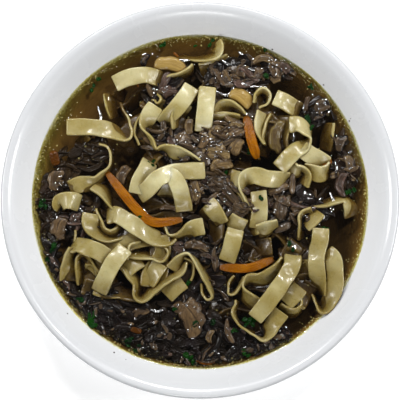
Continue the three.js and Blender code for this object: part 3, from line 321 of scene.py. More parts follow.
SCRAP_SIZES: dict[Cut, ScrapSize] = {
    Cut.SHRED: ScrapSize((9, 18), (2, 4.6), (0.15, 0.6)),
    Cut.SLICE: ScrapSize((7, 12), (5, 9), (0.05, 0.35)),
    Cut.CRUMB: ScrapSize((2.6, 5), (2, 3.8), (0.1, 0.7)),
}


@dataclass(frozen=True)
class Patch:
    """A patch of the soup that is full of mushroom scraps, in millimetres and degrees."""

    x: float
    y: float
    reach: float
    breadth: float
    turn: float
    low: float
    high: float
    counts: tuple[int, int, int]
    flesh: tuple[Flesh, ...]

    def spot(self, chance: random.Random) -> Vector:
        """Draws a place in the patch, as x and y in millimetres."""
        out, around = math.sqrt(chance.random()), chance.uniform(0, math.tau)
        spot = Matrix.Rotation(math.radians(self.turn), 2) @ Vector(
            (out * self.reach * math.cos(around), out * self.breadth * math.sin(around)))
        return spot + Vector((self.x, self.y + FOOD_OFFSET_Y))


DARKS = (Flesh.DARK, Flesh.DARK, Flesh.PURPLE, Flesh.BROWN)
MIXED = (Flesh.BROWN, Flesh.TAN, Flesh.BROWN, Flesh.TAN, Flesh.DARK)

#: Where the scraps lie. The counts are of shreds, slices and crumbs.
PATCHES: dict[str, Patch] = {
    "chopped_centre": Patch(12, 30, 11, 9, 30, 1.5, 4.2, (22, 14, 4), MIXED),
    "centre_edge": Patch(3, 26, 8, 6, 0, 0.8, 3, (11, 5, 4), DARKS),
    "far_cluster": Patch(18, 65.5, 19, 6.4, -6, -0.4, 1.7, (14, 15, 3), DARKS),
    "far_left": Patch(-17, 54, 9, 6, 20, -0.6, 1.2, (10, 5, 2), DARKS),
    "far_corner": Patch(39, 66, 8, 5, -40, -0.4, 1.2, (7, 4, 2), MIXED),
    "under_twist": Patch(-16, 29, 12, 8, -20, -0.5, 1.8, (13, 7, 3), DARKS),
    "right_middle": Patch(42, -2, 13, 12, 30, -0.6, 2.4, (20, 14, 5), DARKS),
    "right_inner": Patch(55, -8, 8, 10, 0, -1, 1.2, (8, 5, 2), DARKS),
    "right_rim": Patch(71, 21, 15, 5, 104, -1.0, 1.2, (10, 6, 3), MIXED),
    "upper_right": Patch(60, 44, 9, 6, 40, -1.2, 0.8, (7, 4, 2), DARKS),
    "left_rim": Patch(-71, 4, 15, 6, 80, -2.2, 0.2, (11, 6, 3), MIXED),
    "left_edge": Patch(-79, -4, 15, 3, 92, -2.0, 0.0, (10, 4, 3), MIXED),
    "left_low_edge": Patch(-73.5, -32, 14, 4, 114, -1.6, 0.2, (14, 5, 3), DARKS),
    "left_inner": Patch(-60, 24, 12, 9, 20, -3.2, -0.9, (11, 6, 3), MIXED),
    "left_lower": Patch(-62, -14, 8, 8, 0, -0.6, 1.4, (8, 5, 3), DARKS),
    "centre_strips": Patch(-3, -25, 17, 4.4, -6, -1.2, 1.2, (25, 4, 2), DARKS),
    "centre_dark": Patch(13, 2, 12, 7, -45, 0.5, 3.6, (22, 5, 4), DARKS),
    "centre_low": Patch(16, -28, 10, 7, -10, -1.4, 0.8, (13, 5, 4), DARKS),
    "stem_side": Patch(-4, 6, 6, 9, -75, 0, 2.8, (13, 3, 2), MIXED),
    "front_left": Patch(-46, -54, 17, 9, -30, -2.6, 0.3, (22, 12, 7), DARKS),
    "front_rim_left": Patch(-59.5, -53.5, 13, 4, -47, -1.6, 0.3, (14, 5, 4), DARKS),
    "front_rim_middle": Patch(-39.5, -69.5, 13, 4, -29, -1.8, -0.2, (13, 5, 4), DARKS),
    "front_rim_near": Patch(-14, -78, 14, 3.6, -10, -1.6, 0.3, (13, 5, 4), DARKS),
    "front_rim_right": Patch(14, -78, 14, 3.4, 10, -1.6, 0.3, (10, 5, 4), DARKS),
    "front_middle": Patch(-20, -66, 20, 10, -10, -2.6, 0.0, (28, 14, 8), DARKS),
    "front_right": Patch(8, -68, 15, 9, 10, -2.6, 0.4, (20, 10, 5), DARKS),
    "front_far_right": Patch(34, -72, 12, 6, 20, -1.2, 0.8, (11, 6, 4), DARKS),
    "lower_centre": Patch(0, -48, 14, 9, 20, -2.4, 0.4, (17, 8, 4), DARKS),
    "sunk_all": Patch(0, 0, 70, 70, 0, -4.5, -1.2, (34, 18, 6), MIXED),
}


@dataclass(frozen=True)
class Stick:
    """A carrot stick: its middle line as x, y and top, and its width and depth in millimetres."""

    line: tuple[tuple[float, float, float], ...]
    width: float
    depth: float


CARROTS: dict[str, Stick] = {
    "carrot_long": Stick(
        ((-47.5, 13.5, 2.5), (-39, 2.5, 4.5), (-30, -8, 5), (-22.5, -12.5, 4.5), (-9, -11, 3)), 6, 4.5),
    "carrot_upper": Stick(((23.5, 42, 2.5), (26, 30, 4.5), (29, 20, 4)), 6.2, 5),
    "carrot_lower": Stick(((10, -35, 2.5), (24, -35.5, 3.6), (37, -31, 2.5)), 5.6, 4.5),
    "carrot_left": Stick(((-75, 24.5, 0.6), (-73, 17, 0.8)), 5.5, 4),
    "carrot_right": Stick(((61.5, 18.2, 2.2), (67, 19.2, 2.4)), 4.4, 3.6),
    "carrot_front": Stick(((-35, -66, 0.8), (-29.5, -67.5, 0.8)), 3.6, 3),
}

#: Slivers of carrot that are too thin for nodes of their own.
SLIVERS: tuple[Stick, ...] = (
    Stick(((-2, -82.2, 0.7), (3, -83.4, 0.8), (7.5, -82.8, 0.6)), 1.7, 1.2),
    Stick(((-33, 62.5, 1.6), (-31.5, 57, 1.4)), 1.4, 1.1),
    Stick(((-13.5, 75, 1.2), (-11, 72.6, 1.4)), 1.5, 1.1),
)

#: Leaves of herb: x, y, length, turn in degrees.
HERBS: tuple[tuple[float, float, float, float], ...] = (
    (-51.5, 62, 5, 30), (-54, 56.5, 5, 70), (-19, 79, 5, 20), (33.5, 77, 5, 10), (56, 57.5, 5, 55),
    (-79.5, -2.5, 6, 88), (-74.5, -25, 6, 60), (-60, -52.5, 7, -40), (-54, -63, 7, -50), (-37, -73, 6, 20),
    (27, -62.5, 6, 80), (75, 3.5, 5, 70), (-7, -80.5, 6, -5), (5, 79, 4, 70), (7, 81, 4, 20),
    (-3, 79, 3, 140), (34, 62, 5, 10), (54, 40, 7, 110), (56, 35, 6, 80), (13.5, 12, 5, -50),
    (24.5, 24, 4, 60), (-25, 17.5, 5, -20), (31, -0.5, 4, -60), (-30.5, -10, 3, 10), (-80, -2, 5, 90),
    (-77, -30, 6, 70), (62, -15.5, 9, 12), (47, -25, 8, 95), (-5.5, -42.5, 6, 40), (78, 4, 4, 90),
    (-55, -60, 7, -45), (-36, -71, 5, 60), (-32, -76, 6, 10), (-3.5, -64, 5, 30), (6.5, -62.5, 5, 80),
    (17, -67.5, 5, 20), (-4, -82, 8, 5), (23, -78, 5, 0), (23.5, -62.5, 6, 40), (-13, -56.5, 4, 0),
)

#: Lines along which the broth beads against the food: x and y.
BEADS: tuple[tuple[tuple[float, float], ...], ...] = (
    ((3, 57.5), (6, 55.5), (9.5, 54.3), (12.5, 53), (15.5, 54), (17.5, 58), (21.5, 58.8),
     (24.5, 57.8), (30, 57.2),
     (34, 57.2)),
    ((-11, 71.5), (-8, 70.8), (-5, 71)), ((10.5, 72), (13, 69.5), (16.5, 68.5)), ((19.5, 75.5), (22, 73.7)),
    ((18.5, 66.5), (23, 67), (29, 65.5)), ((26, 72), (28.5, 71)), ((53.5, 49), (53, 46.5), (53.5, 44)),
    ((68.5, 19), (69.4, 16), (69, 13)), ((-11, 17), (-7, 16.5)), ((-29, -5), (-27.5, -7), (-26, -8.5)),
    ((-73, -8.5), (-71, -12.5), (-67.5, -16.5)), ((-64, 1), (-62, -4), (-58, -8)),
    ((-52, 47), (-50.5, 42), (-51.5, 37)), ((-25, -56), (-21.5, -57.2), (-18.5, -56.4)),
    ((-13, -3.5), (-8, -2.8), (-3.5, -3.6)), ((46, 36), (48, 33), (47.5, 29)),
    ((66, 3), (67.5, -1), (66.5, -5)),
)

#: Crumbs that lie on the rim: x, y and size.
RIM_CRUMBS: tuple[tuple[float, float, float], ...] = (
    (37, 77.5, 0.8), (76, 40.5, 0.9), (76.5, 41.5, 0.6), (-66.5, -57.5, 0.7), (-43, -77, 0.8),
    (-37, -80.5, 0.5), (63, 59, 0.8),
)


# ---------------------------------------------------------------- curves

def catmull_rom(points: list[Vector], share: float) -> Vector:
    """Follows a smooth curve through points.

    Args:
        points: The points, evenly spaced along the curve's parameter.
        share: How far along, from 0 to 1.

    Returns:
        The place on the curve.
    """
    last = len(points) - 1
    at = min(max(share, 0.0), 1.0) * last
    i = min(int(at), last - 1)
    t = at - i
    here, after = points[i], points[i + 1]
    before = points[i - 1] if i > 0 else here * 2 - after
    beyond = points[i + 2] if i + 2 <= last else after * 2 - here
    out, into = (after - before) * 0.5, (beyond - here) * 0.5
    return (here * (2 * t**3 - 3 * t**2 + 1) + out * (t**3 - 2 * t**2 + t)
            + after * (-2 * t**3 + 3 * t**2) + into * (t**3 - t**2))


def tangent(points: list[Vector], share: float) -> Vector:
    """Gives the direction of the curve through points.

    Args:
        points: The points.
        share: How far along, from 0 to 1.

    Returns:
        The unit direction.
    """
    step = 0.001
    return (catmull_rom(points, share + step) - catmull_rom(points, share - step)).normalized()


# ---------------------------------------------------------------- materials

Socket = bpy.types.NodeSocket
Feed = Socket | Colour | float


class Graph:
    """A material's node tree, with short calls that add and join nodes."""

    #: The ambient occlusion of a place in the open and of one in a fold.
    open_and_fold = (0.95, 0.25)

    def __init__(self, name: str) -> None:
        """Starts an empty material of a name."""
        self.material = bpy.data.materials.new(name)
        self.material.use_nodes = True
        self.tree = self.material.node_tree
        self.tree.nodes.clear()
        self.output = self.tree.nodes.new("ShaderNodeOutputMaterial")
        self.place = self.tree.nodes.new("ShaderNodeTexCoord").outputs["Object"]

    def feed(self, value: Feed, target: Socket) -> None:
        """Joins a socket to another one, or sets a plain value on it.

        Args:
            value: The socket or the value.
            target: The socket that takes it.
        """
        if isinstance(value, Socket):
            self.tree.links.new(value, target)
        else:
            target.default_value = (*value, 1) if target.type == "RGBA" else value

    def add(self, kind: str, inputs: dict[str | int, Feed], **settings: object) -> bpy.types.Node:
        """Adds a node.

        Args:
            kind: The node's type.
            inputs: What its sockets take, by their names or numbers.
            settings: Values of its properties.

        Returns:
            The node.
        """
        node = self.tree.nodes.new(kind)
        for key, value in settings.items():
            setattr(node, key, value)
        for key, value in inputs.items():
            self.feed(value, node.inputs[key])
        return node

    def noise(self, scale: float, detail: float, vector: Socket | None = None) -> Socket:
        """Adds noise.

        Args:
            scale: Features a metre.
            detail: How many finer layers it has.
            vector: Where it is read, or None for Object coordinates.

        Returns:
            The noise, round 0.5.
        """
        inputs = {"Scale": scale, "Detail": detail, "Vector": vector or self.place}
        return self.add("ShaderNodeTexNoise", inputs).outputs["Fac"]

    def ramp(self, value: Socket, stops: tuple[tuple[float, Colour], ...]) -> Socket:
        """Turns a value into a colour.

        Args:
            value: The value.
            stops: Places from 0 to 1 with their colours.

        Returns:
            The colour.
        """
        node = self.add("ShaderNodeValToRGB", {"Fac": value})
        elements = node.color_ramp.elements
        for i, (place, colour) in enumerate(stops):
            element = elements[i] if i < 2 else elements.new(place)
            element.position = place
            element.color = (*colour, 1)
        return node.outputs["Color"]

    def remap(self, value: Socket, low: float, high: float, to_low: float, to_high: float) -> Socket:
        """Maps one range onto another and clamps it.

        Args:
            value: The value.
            low: The value that becomes to_low.
            high: The value that becomes to_high.
            to_low: The first result.
            to_high: The last result.

        Returns:
            The mapped value.
        """
        inputs = {"Value": value, "From Min": low, "From Max": high, "To Min": to_low, "To Max": to_high}
        return self.add("ShaderNodeMapRange", inputs).outputs["Result"]

    def mix(self, share: Socket, first: Socket | Colour, second: Socket | Colour, blend: str = "MIX") -> Socket:
        """Mixes two colours.

        Args:
            share: How much of the second there is.
            first: A colour or a socket.
            second: A colour or a socket.
            blend: How they meet: "MIX", or "MULTIPLY" for a tint.

        Returns:
            The mixed colour.
        """
        inputs = {0: share, 6: first, 7: second}
        return self.add("ShaderNodeMix", inputs, data_type="RGBA", blend_type=blend).outputs[2]

    def calculate(self, operation: str, *terms: Feed) -> Socket:
        """Works a number out.

        Args:
            operation: The sort of sum.
            terms: Its terms.

        Returns:
            The result.
        """
        return self.add("ShaderNodeMath", dict(enumerate(terms)), operation=operation).outputs[0]

    def along(self, axis: str) -> Socket:
        """Gives each place's coordinate along an axis, in metres."""
        return self.add("ShaderNodeSeparateXYZ", {0: self.place}).outputs[axis]

    def lower(self, start: float, end: float, most: float = 1.0) -> Socket:
        """Gives an amount that grows downwards.

        Args:
            start: The height where it is 0, in millimetres over the broth's level.
            end: The height where it is whole.
            most: The whole amount.

        Returns:
            The amount.
        """
        return self.remap(self.along("Z"), (LEVEL + start) * MM, (LEVEL + end) * MM, 0, most)

    def radius(self) -> Socket:
        """Gives how far each place is from the plate's upright axis, in metres."""
        flat = self.add("ShaderNodeVectorMath", {0: self.place, 1: (1, 1, 0)}, operation="MULTIPLY")
        length = self.add("ShaderNodeVectorMath", {0: flat.outputs["Vector"]}, operation="LENGTH")
        return length.outputs["Value"]

    def occlusion_shade(self, reach: float) -> Socket:
        """Gives how hemmed in each place is, from 0 in the open to 1 in a fold: the share by which the finishes
        paint shade there.

        Args:
            reach: How near the other surfaces are, in metres.
        """
        node = self.add("ShaderNodeAmbientOcclusion", {"Distance": reach}, samples=4)
        return self.remap(node.outputs["AO"], *self.open_and_fold, 0, 1)

    def attribute(self, name: str, output: str = "Fac") -> Socket:
        """Reads one of the mesh's own attributes, as a number or by another output's name."""
        return self.add("ShaderNodeAttribute", {}, attribute_name=name).outputs[output]

    def fibres(self, stretch: float) -> Socket:
        """Gives coordinates that follow the mesh's own grain.

        Args:
            stretch: The scale along the grain. What is less than 1 draws the noise out.
        """
        inputs = {"Scale": (stretch, 1, 1), "Vector": self.attribute("grain", "Vector")}
        return self.add("ShaderNodeMapping", inputs).outputs[0]

    def film(self, roughness: float, mirror: Feed, normal: dict[str, Socket]) -> bpy.types.Material:
        """Makes a clear film that mirrors its surroundings.

        Args:
            roughness: How blurred the mirror image is.
            mirror: The share of the light that it mirrors.
            normal: The film's normal by the name "Normal", or nothing where it is smooth.

        Returns:
            The material.
        """
        clear = self.add("ShaderNodeBsdfTransparent", {})
        gloss = self.add("ShaderNodeBsdfGlossy", {"Roughness": roughness, **normal})
        mixed = self.add("ShaderNodeMixShader", {0: mirror, 1: clear.outputs[0], 2: gloss.outputs[0]})
        return self.surface(mixed.outputs[0])

    def surface(self, shader: Socket) -> bpy.types.Material:
        """Joins the last shader to the output and returns the material."""
        self.feed(shader, self.output.inputs["Surface"])
        return self.material


@dataclass(frozen=True)
class Mottle:
    """An uneven amount: noise between two bounds, spread from the least to the most."""

    scale: float
    detail: float
    start: float = 0.3
    end: float = 0.7
    least: float = 0.0
    most: float = 1.0

    def amount(self, graph: Graph, factor: float = 1.0, vector: Socket | None = None) -> Socket:
        """Adds it to a material's nodes.

        Args:
            graph: The material's nodes.
            factor: What the least and the most are multiplied by.
            vector: Where the noise is read, or None for Object coordinates.

        Returns:
            The amount.
        """
        value = graph.noise(self.scale, self.detail, vector)
        return graph.remap(value, self.start, self.end, self.least * factor, self.most * factor)


@dataclass(frozen=True)
class Relief:
    """A fine relief of noise: its features a metre and layers, its strength and its height in metres."""

    scale: float
    detail: float
    strength: float
    height: float

    def normal(self, graph: Graph, vector: Socket | None = None) -> Socket:
        """Adds it to a material's nodes.

        Args:
            graph: The material's nodes.
            vector: Where the noise is read, or None for Object coordinates.

        Returns:
            The normal.
        """
        inputs = {"Strength": self.strength, "Distance": self.height,
                  "Height": graph.noise(self.scale, self.detail, vector)}
        return graph.add("ShaderNodeBump", inputs).outputs["Normal"]


@dataclass(frozen=True)
class BrothLook:
    """How the broth colours what lies under it."""

    deep: Colour = srgb(56, 39, 18)
    kept_per_mm: Colour = (0.74, 0.68, 0.50)
    deepest: float = 20.0

    def over(self, graph: Graph, colour: Socket) -> Socket:
        """Colours a surface as it looks through the broth above it.

        Args:
            graph: The material's nodes.
            colour: The surface's own colour.

        Returns:
            The colour that is seen.
        """
        depth = graph.lower(0, -self.deepest, self.deepest)
        channels = [graph.calculate("POWER", share, depth) for share in self.kept_per_mm]
        kept = graph.add("ShaderNodeCombineXYZ", dict(enumerate(channels)))
        inputs = {1: kept.outputs[0], 4: self.deep, 5: colour}
        return graph.add("ShaderNodeMix", inputs, data_type="VECTOR", factor_mode="NON_UNIFORM").outputs[1]


BROTH_LOOK = BrothLook()


@dataclass(frozen=True)
class Principled:
    """The plain numbers of a surface."""

    roughness: float = 0.35
    specular: float = 0.5
    coat: float = 0.0
    coat_roughness: float = 0.1
    subsurface: float = 0.0
    subsurface_radius: Colour = (0.004, 0.003, 0.0015)

    def material(self, graph: Graph, inputs: dict[str, Feed]) -> bpy.types.Material:
        """Ends a material with the shader.

        Args:
            graph: The material's nodes.
            inputs: What else the shader takes, by its sockets' names.

        Returns:
            The material.
        """
        node = graph.add("ShaderNodeBsdfPrincipled", {
            "Roughness": self.roughness,
            "Specular IOR Level": self.specular,
            "Coat Weight": self.coat,
            "Coat Roughness": self.coat_roughness,
            "Subsurface Weight": self.subsurface,
            "Subsurface Radius": self.subsurface_radius,
            "Subsurface Scale": 1.0,
        })
        for name, value in inputs.items():
            graph.feed(value, node.inputs[name])
        return graph.surface(node.outputs[0])


@dataclass(frozen=True)
class ChinaFinish:
    """Glazed white porcelain."""

    white: Colour = (0.74, 0.75, 0.765)
    shade: Colour = (0.715, 0.73, 0.748)
    cloud_scale: float = 18
    #: Painted light: from this height over the broth, in millimetres, down to the broth, the wall is painted
    #: lighter.
    painted_wall_light: Colour = (0.88, 0.89, 0.905)
    painted_light_top: float = 10.5
    #: Painted shade: the lip's crest, whose top catches the most light, is painted duller than the wall,
    #: between these heights in metres.
    crest: Colour = (0.60, 0.61, 0.625)
    crest_shade_height: tuple[float, float] = (0.0368, 0.0382)
    #: The lip's side turns away from the light beyond this radius, in metres.
    lip_side: Colour = (0.46, 0.475, 0.49)
    lip_side_radius: tuple[float, float] = (0.0988, 0.0999)
    #: The near wall faces the brightest lamp: its factor, and where it starts and is whole.
    near_tint: Colour = (0.88, 0.88, 0.88)
    near: tuple[float, float] = (-0.03, -0.085)
    roughness: Mottle = Mottle(60, 4, least=0.2, most=0.32)
    relief: Relief = Relief(60, 1, 0.15, 0.00005)
    surface: Principled = Principled(roughness=0.22, specular=0.45, coat=0.25, coat_roughness=0.06)

    def material(self) -> bpy.types.Material:
        """Makes the porcelain."""
        graph = Graph("white_china")
        colour = graph.mix(graph.noise(self.cloud_scale, 3), self.white, self.shade)
        # Painted light: the lower wall is painted lighter towards the broth.
        colour = graph.mix(graph.lower(self.painted_light_top, 0), colour, self.painted_wall_light)
        nearness = graph.remap(graph.along("Y"), *self.near, 0, 1)
        colour = graph.mix(nearness, colour, self.near_tint, "MULTIPLY")
        # Painted shade: the lip's crest is painted duller.
        colour = graph.mix(graph.remap(graph.along("Z"), *self.crest_shade_height, 0, 1), colour, self.crest)
        turned_down = graph.remap(graph.radius(), *self.lip_side_radius, 0, 1)
        colour = graph.mix(turned_down, colour, self.lip_side)
        return self.surface.material(graph, {"Base Color": colour, "Roughness": self.roughness.amount(graph),
                                             "Normal": self.relief.normal(graph)})


@dataclass(frozen=True)
class BrothBodyFinish:
    """The broth as seen against the plate's wall: white at its edge, brown where it is deep."""

    #: Depth under the broth's level, in millimetres, and the colour that the wall has there.
    shades: tuple[tuple[float, Colour], ...] = (
        (-0.7, (0.78, 0.77, 0.60)),
        (0.0, (0.69, 0.64, 0.24)),
        (0.7, (0.50, 0.42, 0.07)),
        (1.6, (0.33, 0.215, 0.036)),
        (4.5, (0.31, 0.172, 0.034)),
        (8.0, (0.22, 0.116, 0.028)),
        (13.0, (0.055, 0.030, 0.009)),
    )
    #: Unevenness that makes it look deeper or shallower, in millimetres.
    wobble: Mottle = Mottle(60, 6, least=-1.6, most=1.6)
    speckle: Mottle = Mottle(1100, 2, least=-1.5, most=1.5)
    #: Painted light and shade: how much lighter at the left and darker at the right than in the middle it is
    #: painted, as millimetres of added depth.
    darker_left: float = -6.0
    darker_right: float = 9.0
    half_width: float = 0.08
    #: How much deeper it looks at the near edge, in millimetres, and where that starts and is whole.
    darker_near: float = 22.0
    near: tuple[float, float] = (-0.02, -0.07)
    #: Between these heights over the level, in millimetres, that comes in. All of it counts by this share.
    comes_in: tuple[float, float] = (-0.5, -4.5)
    weight: float = 0.5
    surface: Principled = Principled(roughness=0.5, specular=0.0)

    def material(self) -> bpy.types.Material:
        """Makes the broth's body."""
        graph = Graph("broth_body")
        shallow, deep = self.shades[0][0], self.shades[-1][0]
        uneven = graph.calculate("ADD", self.speckle.amount(graph), self.wobble.amount(graph))
        # Painted light at the left and painted shade at the right, worked as depth.
        rightwards = graph.remap(graph.along("X"), -self.half_width, self.half_width,
                                 self.darker_left, self.darker_right)
        nearwards = graph.remap(graph.along("Y"), *self.near, 0, self.darker_near)
        sideways = graph.calculate("ADD", rightwards, nearwards)
        darker = graph.calculate("MULTIPLY_ADD", sideways, graph.lower(*self.comes_in), uneven)
        share = graph.calculate("MULTIPLY_ADD", darker, self.weight / (deep - shallow),
                                graph.lower(-shallow, -deep))
        stops = tuple(((place - shallow) / (deep - shallow), colour) for place, colour in self.shades)
        return self.surface.material(graph, {"Base Color": graph.ramp(share, stops)})


@dataclass(frozen=True)
class BrothSkinFinish:
    """The clear wet surface of the broth, with fine ripples of fat."""

    refraction: float = 1.36
    roughness: float = 0.03
    relief: Relief = Relief(240, 3, 0.35, 0.0003)

    def material(self) -> bpy.types.Material:
        """Makes the skin."""
        graph = Graph("broth_skin")
        normal = {"Normal": self.relief.normal(graph)}
        fresnel = graph.add("ShaderNodeFresnel", {"IOR": self.refraction, **normal})
        return graph.film(self.roughness, fresnel.outputs[0], normal)


@dataclass(frozen=True)
class FatFinish:
    """Pale yellow drops of fat that the broth shows through."""

    colour: Colour = srgb(220, 206, 130)
    cover: float = 0.24
    surface: Principled = Principled(roughness=0.06, specular=0.6)

    def material(self) -> bpy.types.Material:
        """Makes the fat."""
        return self.surface.material(Graph("fat_drops"), {"Base Color": self.colour, "Alpha": self.cover})


@dataclass(frozen=True)
class WetFinish:
    """A clear bead of broth that is bright where it mirrors a lamp."""

    mirror: float = 0.5
    roughness: float = 0.16

    def material(self) -> bpy.types.Material:
        """Makes the film."""
        return Graph("wet_film").film(self.roughness, self.mirror, {})


@dataclass(frozen=True)
class NoodleFinish:
    """Boiled egg noodle: cream, wet, olive where it is soaked, with a few dark specks and painted shade in its
    folds.
    """

    light: Colour = srgb(211, 204, 162)
    mid: Colour = srgb(170, 157, 102)
    blotches: Mottle = Mottle(75, 1, 0.36, 0.64)
    #: It is soaked between these heights over the broth's level, in millimetres.
    olive: Colour = srgb(140, 123, 62)
    soaked: tuple[float, float] = (7.5, -0.3)
    # Painted shade: the fold colour darkens the noodle where ambient occlusion within the shade reach, in
    # metres, finds it hemmed in.
    fold: Colour = srgb(120, 97, 42)
    shade_reach: float = 0.006
    speck: Colour = srgb(90, 78, 48)
    specks: Mottle = Mottle(2200, 1, 0.76, 0.79, most=0.6)
    #: The near noodles lie in duller light: the factor, and where it starts and is whole, in metres.
    front_tint: Colour = (0.66, 0.62, 0.48)
    front: tuple[float, float] = (0.04, -0.045)
    roughness: Mottle = Mottle(500, 3, least=0.2, most=0.42)
    relief: Relief = Relief(420, 4, 0.35, 0.0003)
    wet_relief: Relief = Relief(260, 2, 0.35, 0.0006)
    surface: Principled = Principled(roughness=0.32, specular=0.4, coat=0.26, coat_roughness=0.11,
                                     subsurface=0.3)

    def material(self) -> bpy.types.Material:
        """Makes the noodle."""
        graph = Graph("boiled_noodle")
        colour = graph.mix(self.blotches.amount(graph), self.light, self.mid)
        colour = graph.mix(graph.lower(*self.soaked), colour, self.olive)
        # Painted shade in the folds and where noodles overlap.
        colour = graph.mix(graph.occlusion_shade(self.shade_reach), colour, self.fold)
        colour = graph.mix(self.specks.amount(graph), colour, self.speck)
        nearness = graph.remap(graph.along("Y"), *self.front, 0, 1)
        colour = graph.mix(nearness, colour, self.front_tint, "MULTIPLY")
        return self.surface.material(graph, {
            "Base Color": BROTH_LOOK.over(graph, colour),
            "Roughness": self.roughness.amount(graph),
            "Normal": self.relief.normal(graph),
            "Coat Normal": self.wet_relief.normal(graph),
        })


@dataclass(frozen=True)
class MushroomFinish:
    """Stewed mushroom: a base colour with pale ridges and dark creases, and painted shade in its folds."""

    name: str
    base: Colour
    pale: Colour
    crease_and_shade: Colour
    contrast: float = 1.0
    #: How far the fibres are drawn out, and how much paler the palest piece is.
    stretch: float = 0.09
    paleness: float = 0.8
    streaks: Mottle = Mottle(950, 3, 0.47, 0.6, most=0.9)
    furrows: Mottle = Mottle(620, 2, 0.5, 0.38, most=0.85)
    pits: Mottle = Mottle(1000, 4, 0.5, 0.3, most=0.6)
    blotches: Mottle = Mottle(240, 4, 0.52, 0.7, most=0.6)
    #: The mesh's own relief turns to the crease colour between these values, by this share; on the lumps this
    #: is painted shade in their sunken folds.
    creased: tuple[float, float] = (0.5, 0.1)
    creased_share: float = 0.85
    #: It is soaked between these heights over the broth's level, in millimetres, by this share.
    soaked: Colour = srgb(64, 49, 32)
    soak: tuple[float, float, float] = (5, -0.3, 0.65)
    # Painted shade: within this reach, in metres, ambient occlusion darkens the recesses to the crease colour.
    shade_reach: float = 0.003
    relief: Relief = Relief(700, 3, 0.7, 0.0008)
    wet_relief: Relief = Relief(380, 2, 0.4, 0.0007)
    surface: Principled = Principled(roughness=0.42, specular=0.16, coat=0.3, coat_roughness=0.06)

    def material(self) -> bpy.types.Material:
        """Makes the mushroom."""
        graph = Graph(self.name)
        fibres = graph.fibres(self.stretch)
        paler = graph.remap(graph.attribute("shade"), 0, 1, 0, self.paleness)
        # Painted shade: the lumps' sunken folds, by the mesh's relief, turn to the crease colour.
        in_crease = graph.remap(graph.attribute("relief"), *self.creased, 0,
                                self.creased_share * self.contrast ** 0.5)
        colour = graph.mix(paler, self.base, self.pale)
        colour = graph.mix(self.streaks.amount(graph, self.contrast, fibres), colour, self.pale)
        for share in (self.furrows.amount(graph, self.contrast, fibres), self.pits.amount(graph, self.contrast),
                      in_crease, self.blotches.amount(graph, self.contrast)):
            colour = graph.mix(share, colour, self.crease_and_shade)
        colour = graph.mix(graph.lower(*self.soak), colour, self.soaked)
        # Painted shade where the mushroom is hemmed in.
        colour = graph.mix(graph.occlusion_shade(self.shade_reach), colour, self.crease_and_shade)
        return self.surface.material(graph, {
            "Base Color": BROTH_LOOK.over(graph, colour),
            "Normal": self.relief.normal(graph, fibres),
            "Coat Normal": self.wet_relief.normal(graph),
        })


MUSHROOM_FINISHES: dict[Flesh, MushroomFinish] = {
    Flesh.SMOOTH: MushroomFinish("stewed_smooth", srgb(188, 154, 74), srgb(212, 184, 112),
                                 srgb(118, 86, 34), 0.3),
    Flesh.TAN: MushroomFinish("stewed_tan", srgb(118, 95, 58), srgb(174, 148, 100), srgb(50, 33, 18), 0.8),
    Flesh.BROWN: MushroomFinish("stewed_brown", srgb(80, 59, 35), srgb(130, 105, 69), srgb(31, 19, 10), 0.9),
    Flesh.DARK: MushroomFinish("stewed_dark", srgb(61, 46, 27), srgb(104, 84, 56), srgb(24, 16, 10), 0.9),
    Flesh.PURPLE: MushroomFinish("stewed_purple", srgb(66, 45, 38), srgb(114, 87, 77), srgb(28, 17, 16), 0.9),
    Flesh.OLIVE: MushroomFinish("stewed_olive", srgb(92, 76, 32), srgb(134, 116, 56), srgb(48, 26, 24), 0.6),
}


@dataclass(frozen=True)
class CarrotFinish:
    """Boiled carrot: orange, streaked along the stick."""

    bright: Colour = (0.31, 0.110, 0.002)
    deep: Colour = (0.17, 0.048, 0.0015)
    stretch: float = 0.12
    streaks: Mottle = Mottle(900, 3, 0.35, 0.65)
    #: It darkens between these heights over the broth's level, in millimetres, by this share.
    dark: tuple[float, float, float] = (3.6, 1, 0.8)
    speck: Colour = (0.10, 0.03, 0.002)
    specks: Mottle = Mottle(1300, 2, 0.62, 0.7, most=0.7)
    relief: Relief = Relief(800, 4, 0.7, 0.0005)
    surface: Principled = Principled(roughness=0.22, specular=0.14)

    def material(self) -> bpy.types.Material:
        """Makes the carrot."""
        graph = Graph("boiled_carrot")
        streaky = self.streaks.amount(graph, vector=graph.fibres(self.stretch))
        colour = graph.mix(streaky, self.bright, self.deep)
        for share in (graph.lower(*self.dark), self.specks.amount(graph)):
            colour = graph.mix(share, colour, self.speck)
        return self.surface.material(graph, {"Base Color": BROTH_LOOK.over(graph, colour),
                                             "Normal": self.relief.normal(graph)})


@dataclass(frozen=True)
class HerbFinish:
    """Chopped green herb."""

    leaf: Colour = srgb(14, 58, 4)
    shade: Colour = srgb(5, 38, 6)
    patches: Mottle = Mottle(120, 2, 0.4, 0.6)
    vein: Colour = srgb(5, 28, 4)
    veins: Mottle = Mottle(1500, 3, most=0.6)
    relief: Relief = Relief(1200, 3, 0.5, 0.0003)
    surface: Principled = Principled(roughness=0.3, specular=0.08)

    def material(self) -> bpy.types.Material:
        """Makes the herb."""
        graph = Graph("chopped_herb")
        colour = graph.mix(self.patches.amount(graph), self.leaf, self.shade)
        colour = graph.mix(self.veins.amount(graph), colour, self.vein)
        return self.surface.material(graph, {"Base Color": BROTH_LOOK.over(graph, colour),
                                             "Normal": self.relief.normal(graph)})


